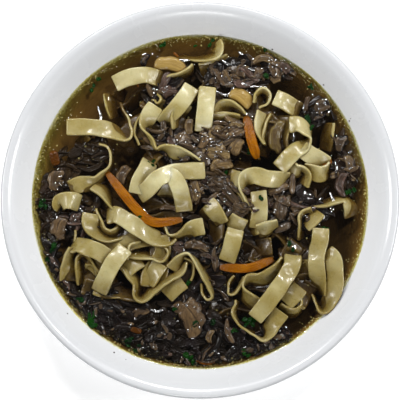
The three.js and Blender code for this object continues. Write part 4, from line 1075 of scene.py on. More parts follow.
@dataclass(frozen=True)
class CrumbFinish:
    """Dark specks of pepper and herb."""

    dark: Colour = srgb(48, 42, 34)
    pale: Colour = srgb(84, 74, 54)
    grain_scale: float = 900
    surface: Principled = Principled(roughness=0.6, specular=0.3)

    def material(self) -> bpy.types.Material:
        """Makes the specks."""
        graph = Graph("dark_specks")
        colour = graph.mix(graph.noise(self.grain_scale, 2), self.dark, self.pale)
        return self.surface.material(graph, {"Base Color": colour})


@dataclass(frozen=True)
class FloorFinish:
    """The pale matt floor."""

    colour: Colour = (0.9, 0.9, 0.9)
    glow_colour: Colour = (1, 1, 1)
    glow: float = 0.3
    surface: Principled = Principled(roughness=0.9, specular=0.1)

    def material(self) -> bpy.types.Material:
        """Makes the floor's matt paint."""
        inputs = {"Base Color": self.colour, "Emission Color": self.glow_colour,
                  "Emission Strength": self.glow}
        return self.surface.material(Graph("pale_floor"), inputs)


# ---------------------------------------------------------------- pieces

def place_piece(name: str, shape: bmesh.types.BMesh, materials: list[bpy.types.Material],
                nodes: tuple[str, ...] = ()) -> bpy.types.Object:
    """Makes an object of a finished mesh and puts it on the part.

    Args:
        name: The piece's name.
        shape: The mesh, in metres, which is used up.
        materials: Its materials in order.
        nodes: The CAD nodes that it stands for.

    Returns:
        The object.
    """
    mesh = bpy.data.meshes.new(name)
    for face in shape.faces:
        face.smooth = True
    shape.to_mesh(mesh)
    shape.free()
    for material in materials:
        mesh.materials.append(material)
    piece = bpy.data.objects.new(name, mesh)
    bpy.context.scene.collection.objects.link(piece)
    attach(piece, "root")
    if nodes:
        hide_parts(*nodes)
    log.info("%s: %d faces, stands for %d nodes", name, len(mesh.polygons), len(nodes))
    return piece


def thicken(piece: bpy.types.Object, thickness: float, crispness: float = 0.0, rounded: bool = True) -> None:
    """Gives a thin piece its thickness, half on each side of its mesh.

    Args:
        piece: The piece.
        thickness: Its thickness, in millimetres.
        crispness: How sharp its edges stay when it is rounded off, from 0 to 1.
        rounded: Whether it is rounded off.
    """
    wall = piece.modifiers.new("thickness", "SOLIDIFY")
    wall.thickness = thickness * MM
    wall.offset = 0
    wall.edge_crease_inner = wall.edge_crease_outer = crispness
    if rounded:
        rounding = piece.modifiers.new("rounding", "SUBSURF")
        rounding.levels = rounding.render_levels = 1


class Pile:
    """A mesh of many small shapes, each made in a mesh of its own: an operator is slow on a big one."""

    def __init__(self) -> None:
        """Starts an empty pile."""
        self.whole = bmesh.new()
        self.carrier = bpy.data.meshes.new("carrier")

    def start(self) -> bmesh.types.BMesh:
        """Starts a small shape, with the attributes that the food's materials read."""
        small = bmesh.new()
        small.verts.layers.float.new("relief")
        small.verts.layers.float.new("shade")
        small.verts.layers.float_vector.new("grain")
        return small

    def layers(self, small: bmesh.types.BMesh) -> tuple[bmesh.types.BMLayerItem, ...]:
        """Gives a small shape's relief, shade and grain."""
        numbers = small.verts.layers.float
        return numbers["relief"], numbers["shade"], small.verts.layers.float_vector["grain"]

    def sheet(self, columns: int, rows: int) -> tuple[bmesh.types.BMesh, list[bmesh.types.BMVert]]:
        """Starts a small shape as a flat grid.

        Args:
            columns: How many cells it has along X.
            rows: How many cells it has along Y.

        Returns:
            The shape and its vertices, from -1 to 1 both ways.
        """
        small = self.start()
        return small, bmesh.ops.create_grid(small, x_segments=columns, y_segments=rows, size=1)["verts"]

    def drop(self, size: float, segments: tuple[int, int], squash: tuple[float, float, float],
             lay: Matrix, place: Vector) -> None:
        """Puts a flattened ball on the pile.

        Args:
            size: Its radius, in millimetres.
            segments: How many faces it has round and from pole to pole.
            squash: Its scale along each axis.
            lay: Its turn.
            place: Its middle, in metres.
        """
        ball = self.start()
        bmesh.ops.create_uvsphere(ball, u_segments=segments[0], v_segments=segments[1], radius=size * MM)
        bmesh.ops.scale(ball, verts=ball.verts, vec=squash)
        bmesh.ops.rotate(ball, verts=ball.verts, cent=(0, 0, 0), matrix=lay)
        bmesh.ops.translate(ball, verts=ball.verts, vec=place)
        self.add(ball)

    def add(self, small: bmesh.types.BMesh) -> None:
        """Puts a small shape on the pile and frees it."""
        small.to_mesh(self.carrier)
        small.free()
        self.whole.from_mesh(self.carrier)

    def close(self) -> bmesh.types.BMesh:
        """Ends the pile and gives its mesh."""
        bpy.data.meshes.remove(self.carrier)
        return self.whole


@dataclass
class SoupPlate:
    """The white soup plate, turned from the CAD model's own profile."""

    radius: float = 100.0
    floor_radius: float = 42.0
    floor_height: float = 6.5
    wall: float = 4.2
    wall_turn: float = math.radians(68)
    broth_radius: float = 85.0
    lip_radius: float = 1.75
    lip_height: float = 37.0
    lip_blend: float = 9.0
    foot_inner: float = 46.0
    foot_outer: float = 50.0
    foot_bevel: float = 0.6
    wall_steps: int = 16
    rim_steps: int = 12
    lip_steps: int = 10
    turns: int = 160

    @property
    def wall_reach(self) -> float:
        """The wall ellipse's half axis outwards."""
        return (self.broth_radius - self.floor_radius) / math.sin(self.wall_turn)

    @property
    def wall_rise(self) -> float:
        """The wall ellipse's half axis upwards."""
        return (LEVEL - self.floor_height) / (1 - math.cos(self.wall_turn))

    def inner_wall(self) -> list[Vector]:
        """Gives the inner wall from the floor's edge to the lip, as radius and height."""
        points = []
        for step in range(self.wall_steps + 1):
            turn = self.wall_turn * step / self.wall_steps
            points.append(Vector((self.floor_radius + self.wall_reach * math.sin(turn),
                                  self.floor_height + self.wall_rise * (1 - math.cos(turn)))))
        reach = self.radius - 2 * self.lip_radius - self.broth_radius
        rise = self.lip_height - LEVEL
        flare = self.wall_rise / self.wall_reach * math.tan(self.wall_turn) * reach / rise
        for step in range(1, self.rim_steps + 1):
            out = step / self.rim_steps
            points.append(Vector((self.broth_radius + reach * out, LEVEL + rise * (1 - (1 - out) ** flare))))
        return points

    def offset(self, points: list[Vector], distance: float) -> list[Vector]:
        """Moves a profile down and outwards.

        Args:
            points: The profile's points.
            distance: How far, in millimetres, or up and inwards if it is negative.

        Returns:
            The moved points.
        """
        moved = []
        for i, point in enumerate(points):
            along = (points[min(i + 1, len(points) - 1)] - points[max(i - 1, 0)]).normalized()
            moved.append(point + Vector((along.y, -along.x)) * distance)
        return moved

    def wall_at(self, height: float, gap: float = 0.0) -> float:
        """Gives the radius of the inner wall at a height.

        Args:
            height: The height, in millimetres.
            gap: How far from the wall, in millimetres.

        Returns:
            The radius, in millimetres.
        """
        points = self.offset(self.inner_wall(), -gap)
        for low, high in zip(points, points[1:]):
            if low.y <= height <= high.y:
                return low.x + (high.x - low.x) * (height - low.y) / max(high.y - low.y, 1e-6)
        return points[0].x

    def profile(self) -> list[Vector]:
        """Gives the whole profile, from the middle of the underside round to the middle of the floor."""
        inner = self.inner_wall()
        outer = [point for point in self.offset(inner, self.wall)
                 if self.foot_outer + self.foot_bevel < point.x < self.radius - self.lip_radius / 2
                 and point.y < self.lip_height - self.lip_radius]
        crest = self.radius - self.lip_radius
        lip = []
        for step in range(self.lip_steps + 1):
            turn = math.pi / 2 * step / self.lip_steps
            lip.append(Vector((crest + self.lip_radius * math.cos(turn),
                               self.lip_height + self.lip_radius * math.sin(turn))))
        inner = [point for point in inner if point.x < crest - self.lip_blend]
        foot_of_lip = inner[-1]
        run, rise = crest - foot_of_lip.x, self.lip_height + self.lip_radius - foot_of_lip.y
        steepness = (inner[-1].y - inner[-2].y) / (inner[-1].x - inner[-2].x) * run
        for step in range(1, self.lip_steps):
            t = 1 - step / self.lip_steps
            lip.append(Vector((foot_of_lip.x + run * t, foot_of_lip.y + steepness * (t**3 - 2 * t**2 + t)
                               + rise * (3 * t**2 - 2 * t**3))))
        under = self.floor_height - self.wall
        foot = [Vector((0, under)), Vector((self.foot_inner - self.foot_bevel, under)),
                Vector((self.foot_inner, self.foot_bevel)), Vector((self.foot_inner + self.foot_bevel, 0)),
                Vector((self.foot_outer - self.foot_bevel, 0)), Vector((self.foot_outer, self.foot_bevel)),
                Vector((self.foot_outer + self.foot_bevel, under))]
        return [*foot, *outer, *lip, *reversed(inner), Vector((0, self.floor_height))]

    def build(self) -> bpy.types.Object:
        """Turns the plate and dresses it."""
        shape = bmesh.new()
        line = [shape.verts.new((point.x * MM, 0, point.y * MM)) for point in self.profile()]
        edges = [shape.edges.new(pair) for pair in zip(line, line[1:])]
        bmesh.ops.spin(shape, geom=[*line, *edges], cent=(0, 0, 0), axis=(0, 0, 1), angle=math.tau,
                       steps=self.turns, use_merge=True)
        bmesh.ops.remove_doubles(shape, verts=shape.verts, dist=1e-7)
        bmesh.ops.recalc_face_normals(shape, faces=shape.faces)
        return place_piece("soup_plate", shape, [ChinaFinish().material()], ("plate",))


@dataclass
class NoodleHeap:
    """The noodles that show, each a wet ribbon, over the sunken ones that fill the heap."""

    width: float = 8.6
    thickness: float = 1.15
    edge_crispness: float = 0.5
    columns: int = 6
    rows_per_station: int = 7
    sunken_columns: int = 4
    sunken_rows_per_station: int = 3
    #: How far the edges ruffle, the middle cups and the surface swells, in millimetres.
    ruffle: float = 0.5
    camber: float = 0.9
    swell: float = 0.5
    width_change: float = 0.07
    #: How fast those change along the noodle, a millimetre.
    ruffle_rate: float = 0.12
    camber_rate: float = 0.09
    swell_rate: float = 0.22
    width_rate: float = 0.15
    #: The ruffle's waves in radians a millimetre, and how far one edge's lag behind the other's.
    pitch: tuple[float, float] = (0.35, 0.6)
    lag: float = 1.7
    shortest_step: float = 0.15
    #: The sunken noodles' routes: their stations, and each step's length, turn, rise, tilt and twist.
    sunken_seed: int = 4
    sunken_stations: tuple[int, int] = (4, 6)
    sunken_step: float = 7.0
    sunken_turn: float = 0.6
    sunken_rise: float = 0.6
    sunken_tilt: float = 60.0
    sunken_twist: float = 25.0
    #: Beyond these places, in millimetres, a noodle is in the far, front, left or right group.
    far_from: float = 30.0
    front_from: float = -27.0
    left_from: float = -33.0
    right_from: float = 20.0

    def sections(self, stations: tuple[Station, ...], rows_per_station: int
                 ) -> list[tuple[Vector, Vector, Vector, Vector]]:
        """Follows a noodle's stations.

        Args:
            stations: The stations.
            rows_per_station: How many rows there are from one station to the next.

        Returns:
            At each row the middle, and the directions along, across and through the ribbon.
        """
        points = [Vector((x, y + FOOD_OFFSET_Y, top)) for x, y, top, _ in stations]
        tilts = [Vector((tilt, 0, 0)) for *_, tilt in stations]
        rows = rows_per_station * (len(stations) - 1)
        sections = []
        side = Vector()
        for row in range(rows + 1):
            share = row / rows
            tilt = math.radians(catmull_rom(tilts, share).x)
            middle = catmull_rom(points, share)
            sink = self.width / 2 * abs(math.sin(tilt)) + self.thickness / 2 * abs(math.cos(tilt))
            middle.z += LEVEL - sink
            along = tangent(points, share)
            level = Vector((-along.y, along.x, 0)).normalized()
            side = -level if side.dot(level) < 0 else level
            up = along.cross(side).normalized()
            across = side * math.cos(tilt) + up * math.sin(tilt)
            sections.append((middle, along, across, along.cross(across).normalized()))
        return sections

    def lay(self, pile: Pile, name: str, stations: tuple[Station, ...]) -> None:
        """Lays one noodle.

        Args:
            pile: The pile that it is added to.
            name: The noodle's name, which seeds its unevenness. One that isn't in NOODLES is sunken.
            stations: Its stations.
        """
        chance = random.Random(name)
        sunken = name not in NOODLES
        columns = self.sunken_columns if sunken else self.columns
        sections = self.sections(stations, self.sunken_rows_per_station if sunken else self.rows_per_station)
        rows = len(sections) - 1
        shape, grid = pile.sheet(columns, rows)
        phase, pitch = chance.uniform(0, math.tau), chance.uniform(*self.pitch)
        seed = chance.uniform(0, 100)
        by_row: dict[int, list[bmesh.types.BMVert]] = {}
        for vertex in grid:
            by_row.setdefault(round((vertex.co.y + 1) / 2 * rows), []).append(vertex)
        before: list[Vector] = []
        travelled = 0.0
        for row, (middle, along, across, through) in enumerate(sections):
            if row:
                travelled += (middle - sections[row - 1][0]).length
            uneven = 1 + self.width_change * noise.noise(Vector((travelled * self.width_rate, seed, 0)))
            gutter = self.camber * noise.noise(Vector((travelled * self.camber_rate, seed, 5)))
            frill = self.ruffle * (0.5 + noise.noise(Vector((travelled * self.ruffle_rate, seed, 9))))
            here = []
            for i, vertex in enumerate(sorted(by_row[row], key=lambda corner: corner.co.x)):
                u = vertex.co.x
                wave = frill * abs(u) ** 3 * math.sin(travelled * pitch + phase + (u > 0) * self.lag)
                wave += gutter * (0.4 - u * u)
                wave += self.swell * noise.noise(Vector((travelled * self.swell_rate, u * 1.1, seed)))
                place = middle + across * (u * self.width / 2 * uneven) + through * wave
                if before:
                    ahead = (place - before[i]).dot(along)
                    if ahead < self.shortest_step:
                        place = place + along * (self.shortest_step - ahead)
                here.append(place)
                vertex.co = place * MM
            before = here
        pile.add(shape)

    def sunken_routes(self) -> dict[str, tuple[Station, ...]]:
        """Makes up the routes of the noodles that lie under the others."""
        chance = random.Random(self.sunken_seed)
        routes = {}
        for bed in BEDS:
            for _ in range(bed.count):
                out, around = bed.reach * math.sqrt(chance.random()), chance.uniform(0, math.tau)
                x, y = bed.x + out * math.cos(around), bed.y + out * math.sin(around)
                heading = chance.uniform(0, math.tau)
                top = chance.uniform(bed.low, bed.high)
                tilt = chance.uniform(-self.sunken_tilt, self.sunken_tilt)
                stations = []
                for _ in range(chance.randint(*self.sunken_stations)):
                    stations.append((x, y, top, tilt))
                    heading += chance.uniform(-self.sunken_turn, self.sunken_turn)
                    x += self.sunken_step * math.cos(heading)
                    y += self.sunken_step * math.sin(heading)
                    if math.hypot(x - bed.x, y - bed.y) > bed.reach:
                        break
                    top += chance.uniform(-self.sunken_rise, self.sunken_rise)
                    tilt += chance.uniform(-self.sunken_twist, self.sunken_twist)
                if len(stations) > 1:
                    routes[f"sunken_{len(routes)}"] = tuple(stations)
        return routes

    def group(self, stations: tuple[Station, ...]) -> str:
        """Names the part of the plate that a noodle lies in."""
        x, y = (sum(station[axis] for station in stations) / len(stations) for axis in (0, 1))
        if y > self.far_from:
            return "far"
        if y < self.front_from:
            return "front"
        if x < self.left_from:
            return "left"
        return "right" if x > self.right_from else "middle"

    def build(self) -> list[bpy.types.Object]:
        """Lays the noodles in groups and dresses them."""
        material = NoodleFinish().material()
        groups: dict[str, list[str]] = {"far": [], "left": [], "middle": [], "right": [], "front": []}
        for name, stations in NOODLES.items():
            groups[self.group(stations)].append(name)
        routes = {**NOODLES, **self.sunken_routes()}
        groups["sunken"] = [name for name in routes if name not in NOODLES]
        pieces = []
        for group, names in groups.items():
            pile = Pile()
            for name in names:
                self.lay(pile, name, routes[name])
            piece = place_piece(f"noodles_{group}", pile.close(), [material], ("noodles",))
            thicken(piece, self.thickness, self.edge_crispness)
            pieces.append(piece)
        return pieces


@dataclass
class MushroomPieces:
    """The chopped mushrooms, each an uneven lump over its own solid."""

    finishes: dict[Flesh, bpy.types.Material]
    fineness: int = 4
    squareness: float = 0.68
    #: The folds: their height in millimetres, their noise and its highest value.
    relief: float = 1.0
    relief_scale: float = 0.252
    fold_noise: tuple[float, float, int, float, float] = (0.9, 2.1, 4, 0.9, 2.0)
    fold_peak: float = 2.2
    outline_scale: float = 0.24
    outline_depth: float = 0.24
    rim_from: float = 0.7
    shades: tuple[float, float] = (0.0, 0.3)
    #: How much of that a smooth piece has, and how far from the middle the gills meet.
    smooth_calm: float = 0.3
    gills_meet: float = 0.4

    def lump(self, pile: Pile, name: str, chunk: Chunk) -> None:
        """Shapes one piece.

        Args:
            pile: The pile that it is added to.
            name: The piece's name, which seeds its unevenness.
            chunk: Its sizes and place.
        """
        shape = pile.start()
        relief_layer, shade_layer, grain_layer = pile.layers(shape)
        chance = random.Random(name)
        seed, shade = Vector((chance.uniform(0, 200), 0, 0)), chance.uniform(*self.shades)
        turn = Matrix.Rotation(math.radians(chunk.turn), 3, "Z")
        middle = Vector((chunk.x, chunk.y + FOOD_OFFSET_Y, LEVEL + chunk.top - chunk.depth / 2))
        ball = bmesh.ops.create_icosphere(shape, subdivisions=self.fineness, radius=1)["verts"]
        for vertex in ball:
            out = vertex.co.normalized()
            u, v, w = (math.copysign(abs(part) ** self.squareness, part) for part in out)
            cross = 1 / math.hypot(v, w) ** 0.5 if math.hypot(v, w) > 1 else 1
            local = Vector((u * chunk.length / 2, v * cross * chunk.width / 2, w * cross * chunk.depth / 2))
            folds = noise.ridged_multi_fractal(local * self.relief_scale + seed, *self.fold_noise)
            folds = min(max(folds / self.fold_peak, 0), 1)
            outline = noise.noise(local * self.outline_scale + seed)
            rim = max(abs(v) - self.rim_from, 0) / (1 - self.rim_from)
            # The relief is low in the sunken folds, where the finish paints shade, and falls towards the rim.
            vertex[relief_layer] = (0.36 + 0.64 * folds) * (1 - 0.8 * rim)
            vertex[shade_layer] = shade
            vertex[grain_layer] = local * MM
            if name in GILLED:
                from_stem = Vector((local.x + chunk.length * self.gills_meet, local.y))
                fan = math.atan2(from_stem.y, from_stem.x)
                vertex[grain_layer] = Vector((from_stem.length, fan * GILL_SPREAD, 0)) * MM
            calm = self.smooth_calm if chunk.flesh is Flesh.SMOOTH else 1
            local *= 0.95 + self.outline_depth * calm * outline
            local += out * (folds - 0.75) * self.relief * calm
            local.y += chunk.bend * chunk.length * (0.5 - u * u)
            vertex.co = (turn @ local + middle) * MM
        pile.add(shape)

    def build(self) -> list[bpy.types.Object]:
        """Shapes the pieces of each colour and dresses them."""
        pieces = []
        for flesh, finish in self.finishes.items():
            pile = Pile()
            names = [name for name, chunk in MUSHROOMS.items() if chunk.flesh is flesh]
            for name in names:
                self.lump(pile, name, MUSHROOMS[name])
            nodes = tuple(f"mushroom_{name}" for name in names)
            pieces.append(place_piece(f"mushrooms_{flesh.value}", pile.close(), [finish], nodes))
        return pieces


@dataclass
class MushroomScraps:
    """The torn and chopped mushroom between the larger pieces: bent, folded and frilled flakes."""

    finishes: dict[Flesh, bpy.types.Material]
    plate: SoupPlate = field(default_factory=SoupPlate)
    wall_gap: float = 1.2
    thickness: float = 0.95
    columns: int = 4
    rows: int = 6
    seed: int = 11
    frill: float = 0.13
    frill_pitch: tuple[float, float] = (1.6, 3.2)
    raggedness: float = 0.5
    bluntness: float = 0.5
    grain_fineness: float = 1.8
    #: How far a scrap bows sideways and upwards at most, as shares of its length.
    bow: float = 0.22
    lift: float = 0.12
    #: How far it leans along and across its length at most, and how much its turn varies, in radians.
    lean: tuple[float, float] = (0.22, 0.6)
    turn_spread: float = 0.7

    def scrap(self, pile: Pile, chance: random.Random, size: ScrapSize, middle: Vector, turn: float) -> None:
        """Shapes one scrap.

        Args:
            pile: The pile that it is added to.
            chance: The source of its unevenness.
            size: The sizes that it may have.
            middle: Its middle, in millimetres.
            turn: The turn of its length, in radians.
        """
        shape, grid = pile.sheet(self.rows, self.columns)
        relief_layer, shade_layer, grain_layer = pile.layers(shape)
        length, width = chance.uniform(*size.length), chance.uniform(*size.width)
        shade = chance.random() ** 1.5
        fold = chance.choice((-1, 1)) * chance.uniform(*size.fold)
        bow = chance.uniform(-self.bow, self.bow)
        lift = chance.uniform(-self.lift, self.lift)
        seed, pitch = chance.uniform(0, 300), chance.uniform(*self.frill_pitch)
        lay = Matrix.Rotation(turn, 3, "Z")
        for axis, most in zip("YX", self.lean):
            lay = lay @ Matrix.Rotation(chance.uniform(-most, most), 3, axis)
        for vertex in grid:
            u, v, _ = vertex.co
            ragged = noise.noise(Vector((u * 2.2, v * 0.8, seed)))
            ragged += 0.5 * noise.noise(Vector((u * 6, v, seed)))
            outline = (1 - abs(u) ** 4) ** 0.5 * (1 + self.raggedness * ragged)
            half = width / 2 * max(outline, self.bluntness)
            local = Vector((u * length / 2 * (1 + 0.15 * noise.noise(Vector((v * 2, seed, 0)))), v * half, 0))
            local.y += bow * length * (0.5 - u * u)
            local.z = fold * width * 0.5 * (0.4 - v * v) + lift * length * u * u
            local.z += self.frill * width * abs(v) ** 2 * math.sin(u * pitch * 2 + seed)
            local.z += 0.35 * noise.noise(local * 0.5 + Vector((seed, 0, 0)))
            vertex[relief_layer] = min(1, 0.62 + 0.6 * noise.noise(local * 0.9)) * (1 - 0.7 * abs(v) ** 3)
            vertex[shade_layer] = shade
            vertex[grain_layer] = Vector((local.x, local.y + seed, local.z)) * self.grain_fineness * MM
            place = lay @ local + middle
            reach = self.plate.wall_at(min(place.z, LEVEL), self.wall_gap)
            out = place.to_2d().length
            if out > reach:
                place.x, place.y = place.x * reach / out, place.y * reach / out
            vertex.co = place * MM
        pile.add(shape)

    def build(self) -> list[bpy.types.Object]:
        """Scatters the scraps over their patches and dresses them by colour."""
        piles = {flesh: Pile() for flesh in (*DARKS, *MIXED)}
        for name, patch in PATCHES.items():
            chance = random.Random(f"{name} {self.seed}")
            for cut, count in zip(Cut, patch.counts):
                for _ in range(count):
                    spot = patch.spot(chance)
                    top = chance.uniform(patch.low, patch.high)
                    middle = Vector((*spot, LEVEL + top - self.thickness))
                    turn = math.radians(patch.turn) + chance.gauss(0, self.turn_spread)
                    self.scrap(piles[chance.choice(patch.flesh)], chance, SCRAP_SIZES[cut], middle, turn)
        pieces = []
        for flesh, pile in piles.items():
            piece = place_piece(f"mushroom_scraps_{flesh.value}", pile.close(), [self.finishes[flesh]],
                                ("noodles",))
            thicken(piece, self.thickness)
            pieces.append(piece)
        return pieces


@dataclass
class FatDroplets:
    """Small flat drops of fat, crowded along the broth's edge."""

    plate: SoupPlate = field(default_factory=SoupPlate)
    edge_count: int = 1500
    open_count: int = 160
    edge_size: tuple[float, float] = (0.14, 0.36)
    open_size: tuple[float, float] = (0.2, 0.6)
    open_inwards: tuple[float, float] = (2, 60)
    wall_gap: float = 0.3
    segments: tuple[int, int] = (6, 4)
    seed: int = 5
    flatness: float = 0.35
    crowding: float = 1.1
    climb: float = 0.7

    def build(self) -> bpy.types.Object:
        """Scatters the drops on the broth and dresses them."""
        pile = Pile()
        chance = random.Random(self.seed)
        rim = self.plate.wall_at(LEVEL, self.wall_gap)
        for i in range(self.edge_count + self.open_count):
            around = chance.uniform(0, math.tau)
            at_edge = i < self.edge_count
            inwards = chance.expovariate(1 / self.crowding) if at_edge else chance.uniform(*self.open_inwards)
            size = chance.uniform(*(self.edge_size if at_edge else self.open_size))
            out = max(rim - size - inwards, 1)
            height = LEVEL + self.climb * math.exp(-inwards)
            place = Vector((out * math.cos(around), out * math.sin(around), height)) * MM
            pile.drop(size, self.segments, (1, 1, self.flatness), Matrix.Identity(3), place)
        return place_piece("fat_droplets", pile.close(), [FatFinish().material()], ("broth",))


@dataclass
class CarrotSticks:
    """Cut carrot sticks with rounded corners."""

    taper: float = 0.55
    slimness: float = 0.8
    unevenness: float = 0.08
    corner: float = 1.1
    corner_segments: int = 4
    rows: int = 24

    def stick(self, pile: Pile, stick: Stick) -> None:
        """Shapes one stick.

        Args:
            pile: The pile that it is added to.
            stick: Its line and sizes.
        """
        points = [Vector((x, y + FOOD_OFFSET_Y, LEVEL + top - stick.depth / 2)) for x, y, top in stick.line]
        length = sum((b - a).length for a, b in zip(points, points[1:]))
        shape = pile.start()
        *_, grain_layer = pile.layers(shape)
        bmesh.ops.create_cube(shape, size=2)
        lengthwise = [edge for edge in shape.edges if abs(edge.verts[0].co.x - edge.verts[1].co.x) > 1]
        bmesh.ops.subdivide_edges(shape, edges=lengthwise, cuts=self.rows, use_grid_fill=True)
        for vertex in shape.verts:
            u, v, w = vertex.co
            share = (u + 1) / 2
            along = tangent(points, share)
            across = Vector((-along.y, along.x, 0)).normalized()
            up = along.cross(across).normalized()
            taper = self.slimness * (1 - self.taper * abs(u) ** 5)
            bumps = noise.noise(Vector((share * length * 0.3, v * 2, w * 2 + length)))
            local = Vector((share * length, v * stick.width / 2, w * stick.depth / 2))
            vertex[grain_layer] = local * MM
            sideways = (across * local.y + up * local.z) * taper * (1 + self.unevenness * bumps)
            vertex.co = (catmull_rom(points, share) + sideways) * MM
        pile.add(shape)

    def build(self) -> bpy.types.Object:
        """Shapes the sticks and dresses them."""
        pile = Pile()
        for stick in (*CARROTS.values(), *SLIVERS):
            self.stick(pile, stick)
        piece = place_piece("carrot_sticks", pile.close(), [CarrotFinish().material()],
                            tuple(CARROTS))
        bevel = piece.modifiers.new("soft_corners", "BEVEL")
        bevel.width = self.corner * MM
        bevel.segments = self.corner_segments
        bevel.limit_method = "ANGLE"
        return piece


@dataclass
class Broth:
    """The broth: a clear skin that climbs a little where it wets the food, over its brown body."""

    plate: SoupPlate = field(default_factory=SoupPlate)
    cells: int = 185
    body_rings: int = 12
    wall_gap: float = 0.04
    climb: float = 0.7
    climb_reach: float = 1.1
    #: How many times that far the food still counts, and how the body's rings crowd upwards.
    reaches: float = 5
    ring_spacing: float = 1.5

    def climb_at(self, place: Vector, trees: list[BVHTree]) -> float:
        """Gives how high the skin climbs at a place.

        Args:
            place: A place on the level skin, in metres.
            trees: The food's surfaces.

        Returns:
            The climb, in metres.
        """
        reach = self.reaches * self.climb_reach * MM
        nearest = reach
        for tree in trees:
            found = tree.find_nearest(place, reach)
            if found[3] is not None:
                nearest = min(nearest, found[3])
        edge = self.plate.wall_at(LEVEL + self.climb, self.wall_gap) * MM - place.to_2d().length
        nearest = min(nearest, max(edge, 0))
        return self.climb * MM * math.exp(-nearest / (self.climb_reach * MM))

    def build(self, trees: list[BVHTree]) -> bpy.types.Object:
        """Pours the broth round the food.

        Args:
            trees: The surfaces that the skin climbs.

        Returns:
            The broth.
        """
        shape = bmesh.new()
        bmesh.ops.create_grid(shape, x_segments=self.cells, y_segments=self.cells, size=1)
        radius = self.plate.wall_at(LEVEL + self.climb, self.wall_gap)
        for vertex in shape.verts:
            u, v, _ = vertex.co
            flat = Vector((u * math.sqrt(1 - v * v / 2), v * math.sqrt(1 - u * u / 2))) * radius * MM
            place = Vector((flat.x, flat.y, LEVEL * MM))
            place.z += self.climb_at(place, trees)
            vertex.co = place
        rim = [edge for edge in shape.edges if edge.is_boundary]
        for edge in rim:
            edge.smooth = False
        for ring in range(1, self.body_rings + 1):
            down = (ring / self.body_rings) ** self.ring_spacing
            height = LEVEL - (LEVEL - self.plate.floor_height - self.wall_gap) * down
            reach = self.plate.wall_at(height, self.wall_gap) * MM
            made = bmesh.ops.extrude_edge_only(shape, edges=rim)["geom"]
            fresh = {part for part in made if isinstance(part, bmesh.types.BMVert)}
            for vertex in fresh:
                flat = vertex.co.to_2d().normalized() * reach
                vertex.co = (flat.x, flat.y, height * MM)
            rim = [part for part in made
                   if isinstance(part, bmesh.types.BMEdge) and fresh.issuperset(part.verts)]
            for face in (part for part in made if isinstance(part, bmesh.types.BMFace)):
                face.material_index = 1
        for face in bmesh.ops.contextual_create(shape, geom=rim)["faces"]:
            face.material_index = 1
        bmesh.ops.recalc_face_normals(shape, faces=shape.faces)
        return place_piece("broth_pool", shape, [BrothSkinFinish().material(), BrothBodyFinish().material()],
                           ("broth",))


def surfaces(food: list[bpy.types.Object]) -> list[BVHTree]:
    """Gives the surfaces of the food, with its modifiers."""
    view = bpy.context.evaluated_depsgraph_get()
    return [BVHTree.FromObject(piece, view) for piece in food]


def top_at(x: float, y: float, trees: list[BVHTree]) -> tuple[Vector, Vector]:
    """Gives the uppermost surface over a place.

    Args:
        x: The place in millimetres.
        y: The place in millimetres.
        trees: The food's surfaces.

    Returns:
        The place on the surface in metres, and the way it faces. The broth is the lowest surface.
    """
    best, facing = Vector((x, y, LEVEL)) * MM, Vector((0, 0, 1))
    for tree in trees:
        place, normal, *_ = tree.ray_cast(Vector((x, y, ABOVE_ALL)) * MM, Vector((0, 0, -1)))
        if place and place.z > best.z:
            best, facing = place, normal
    return best, facing


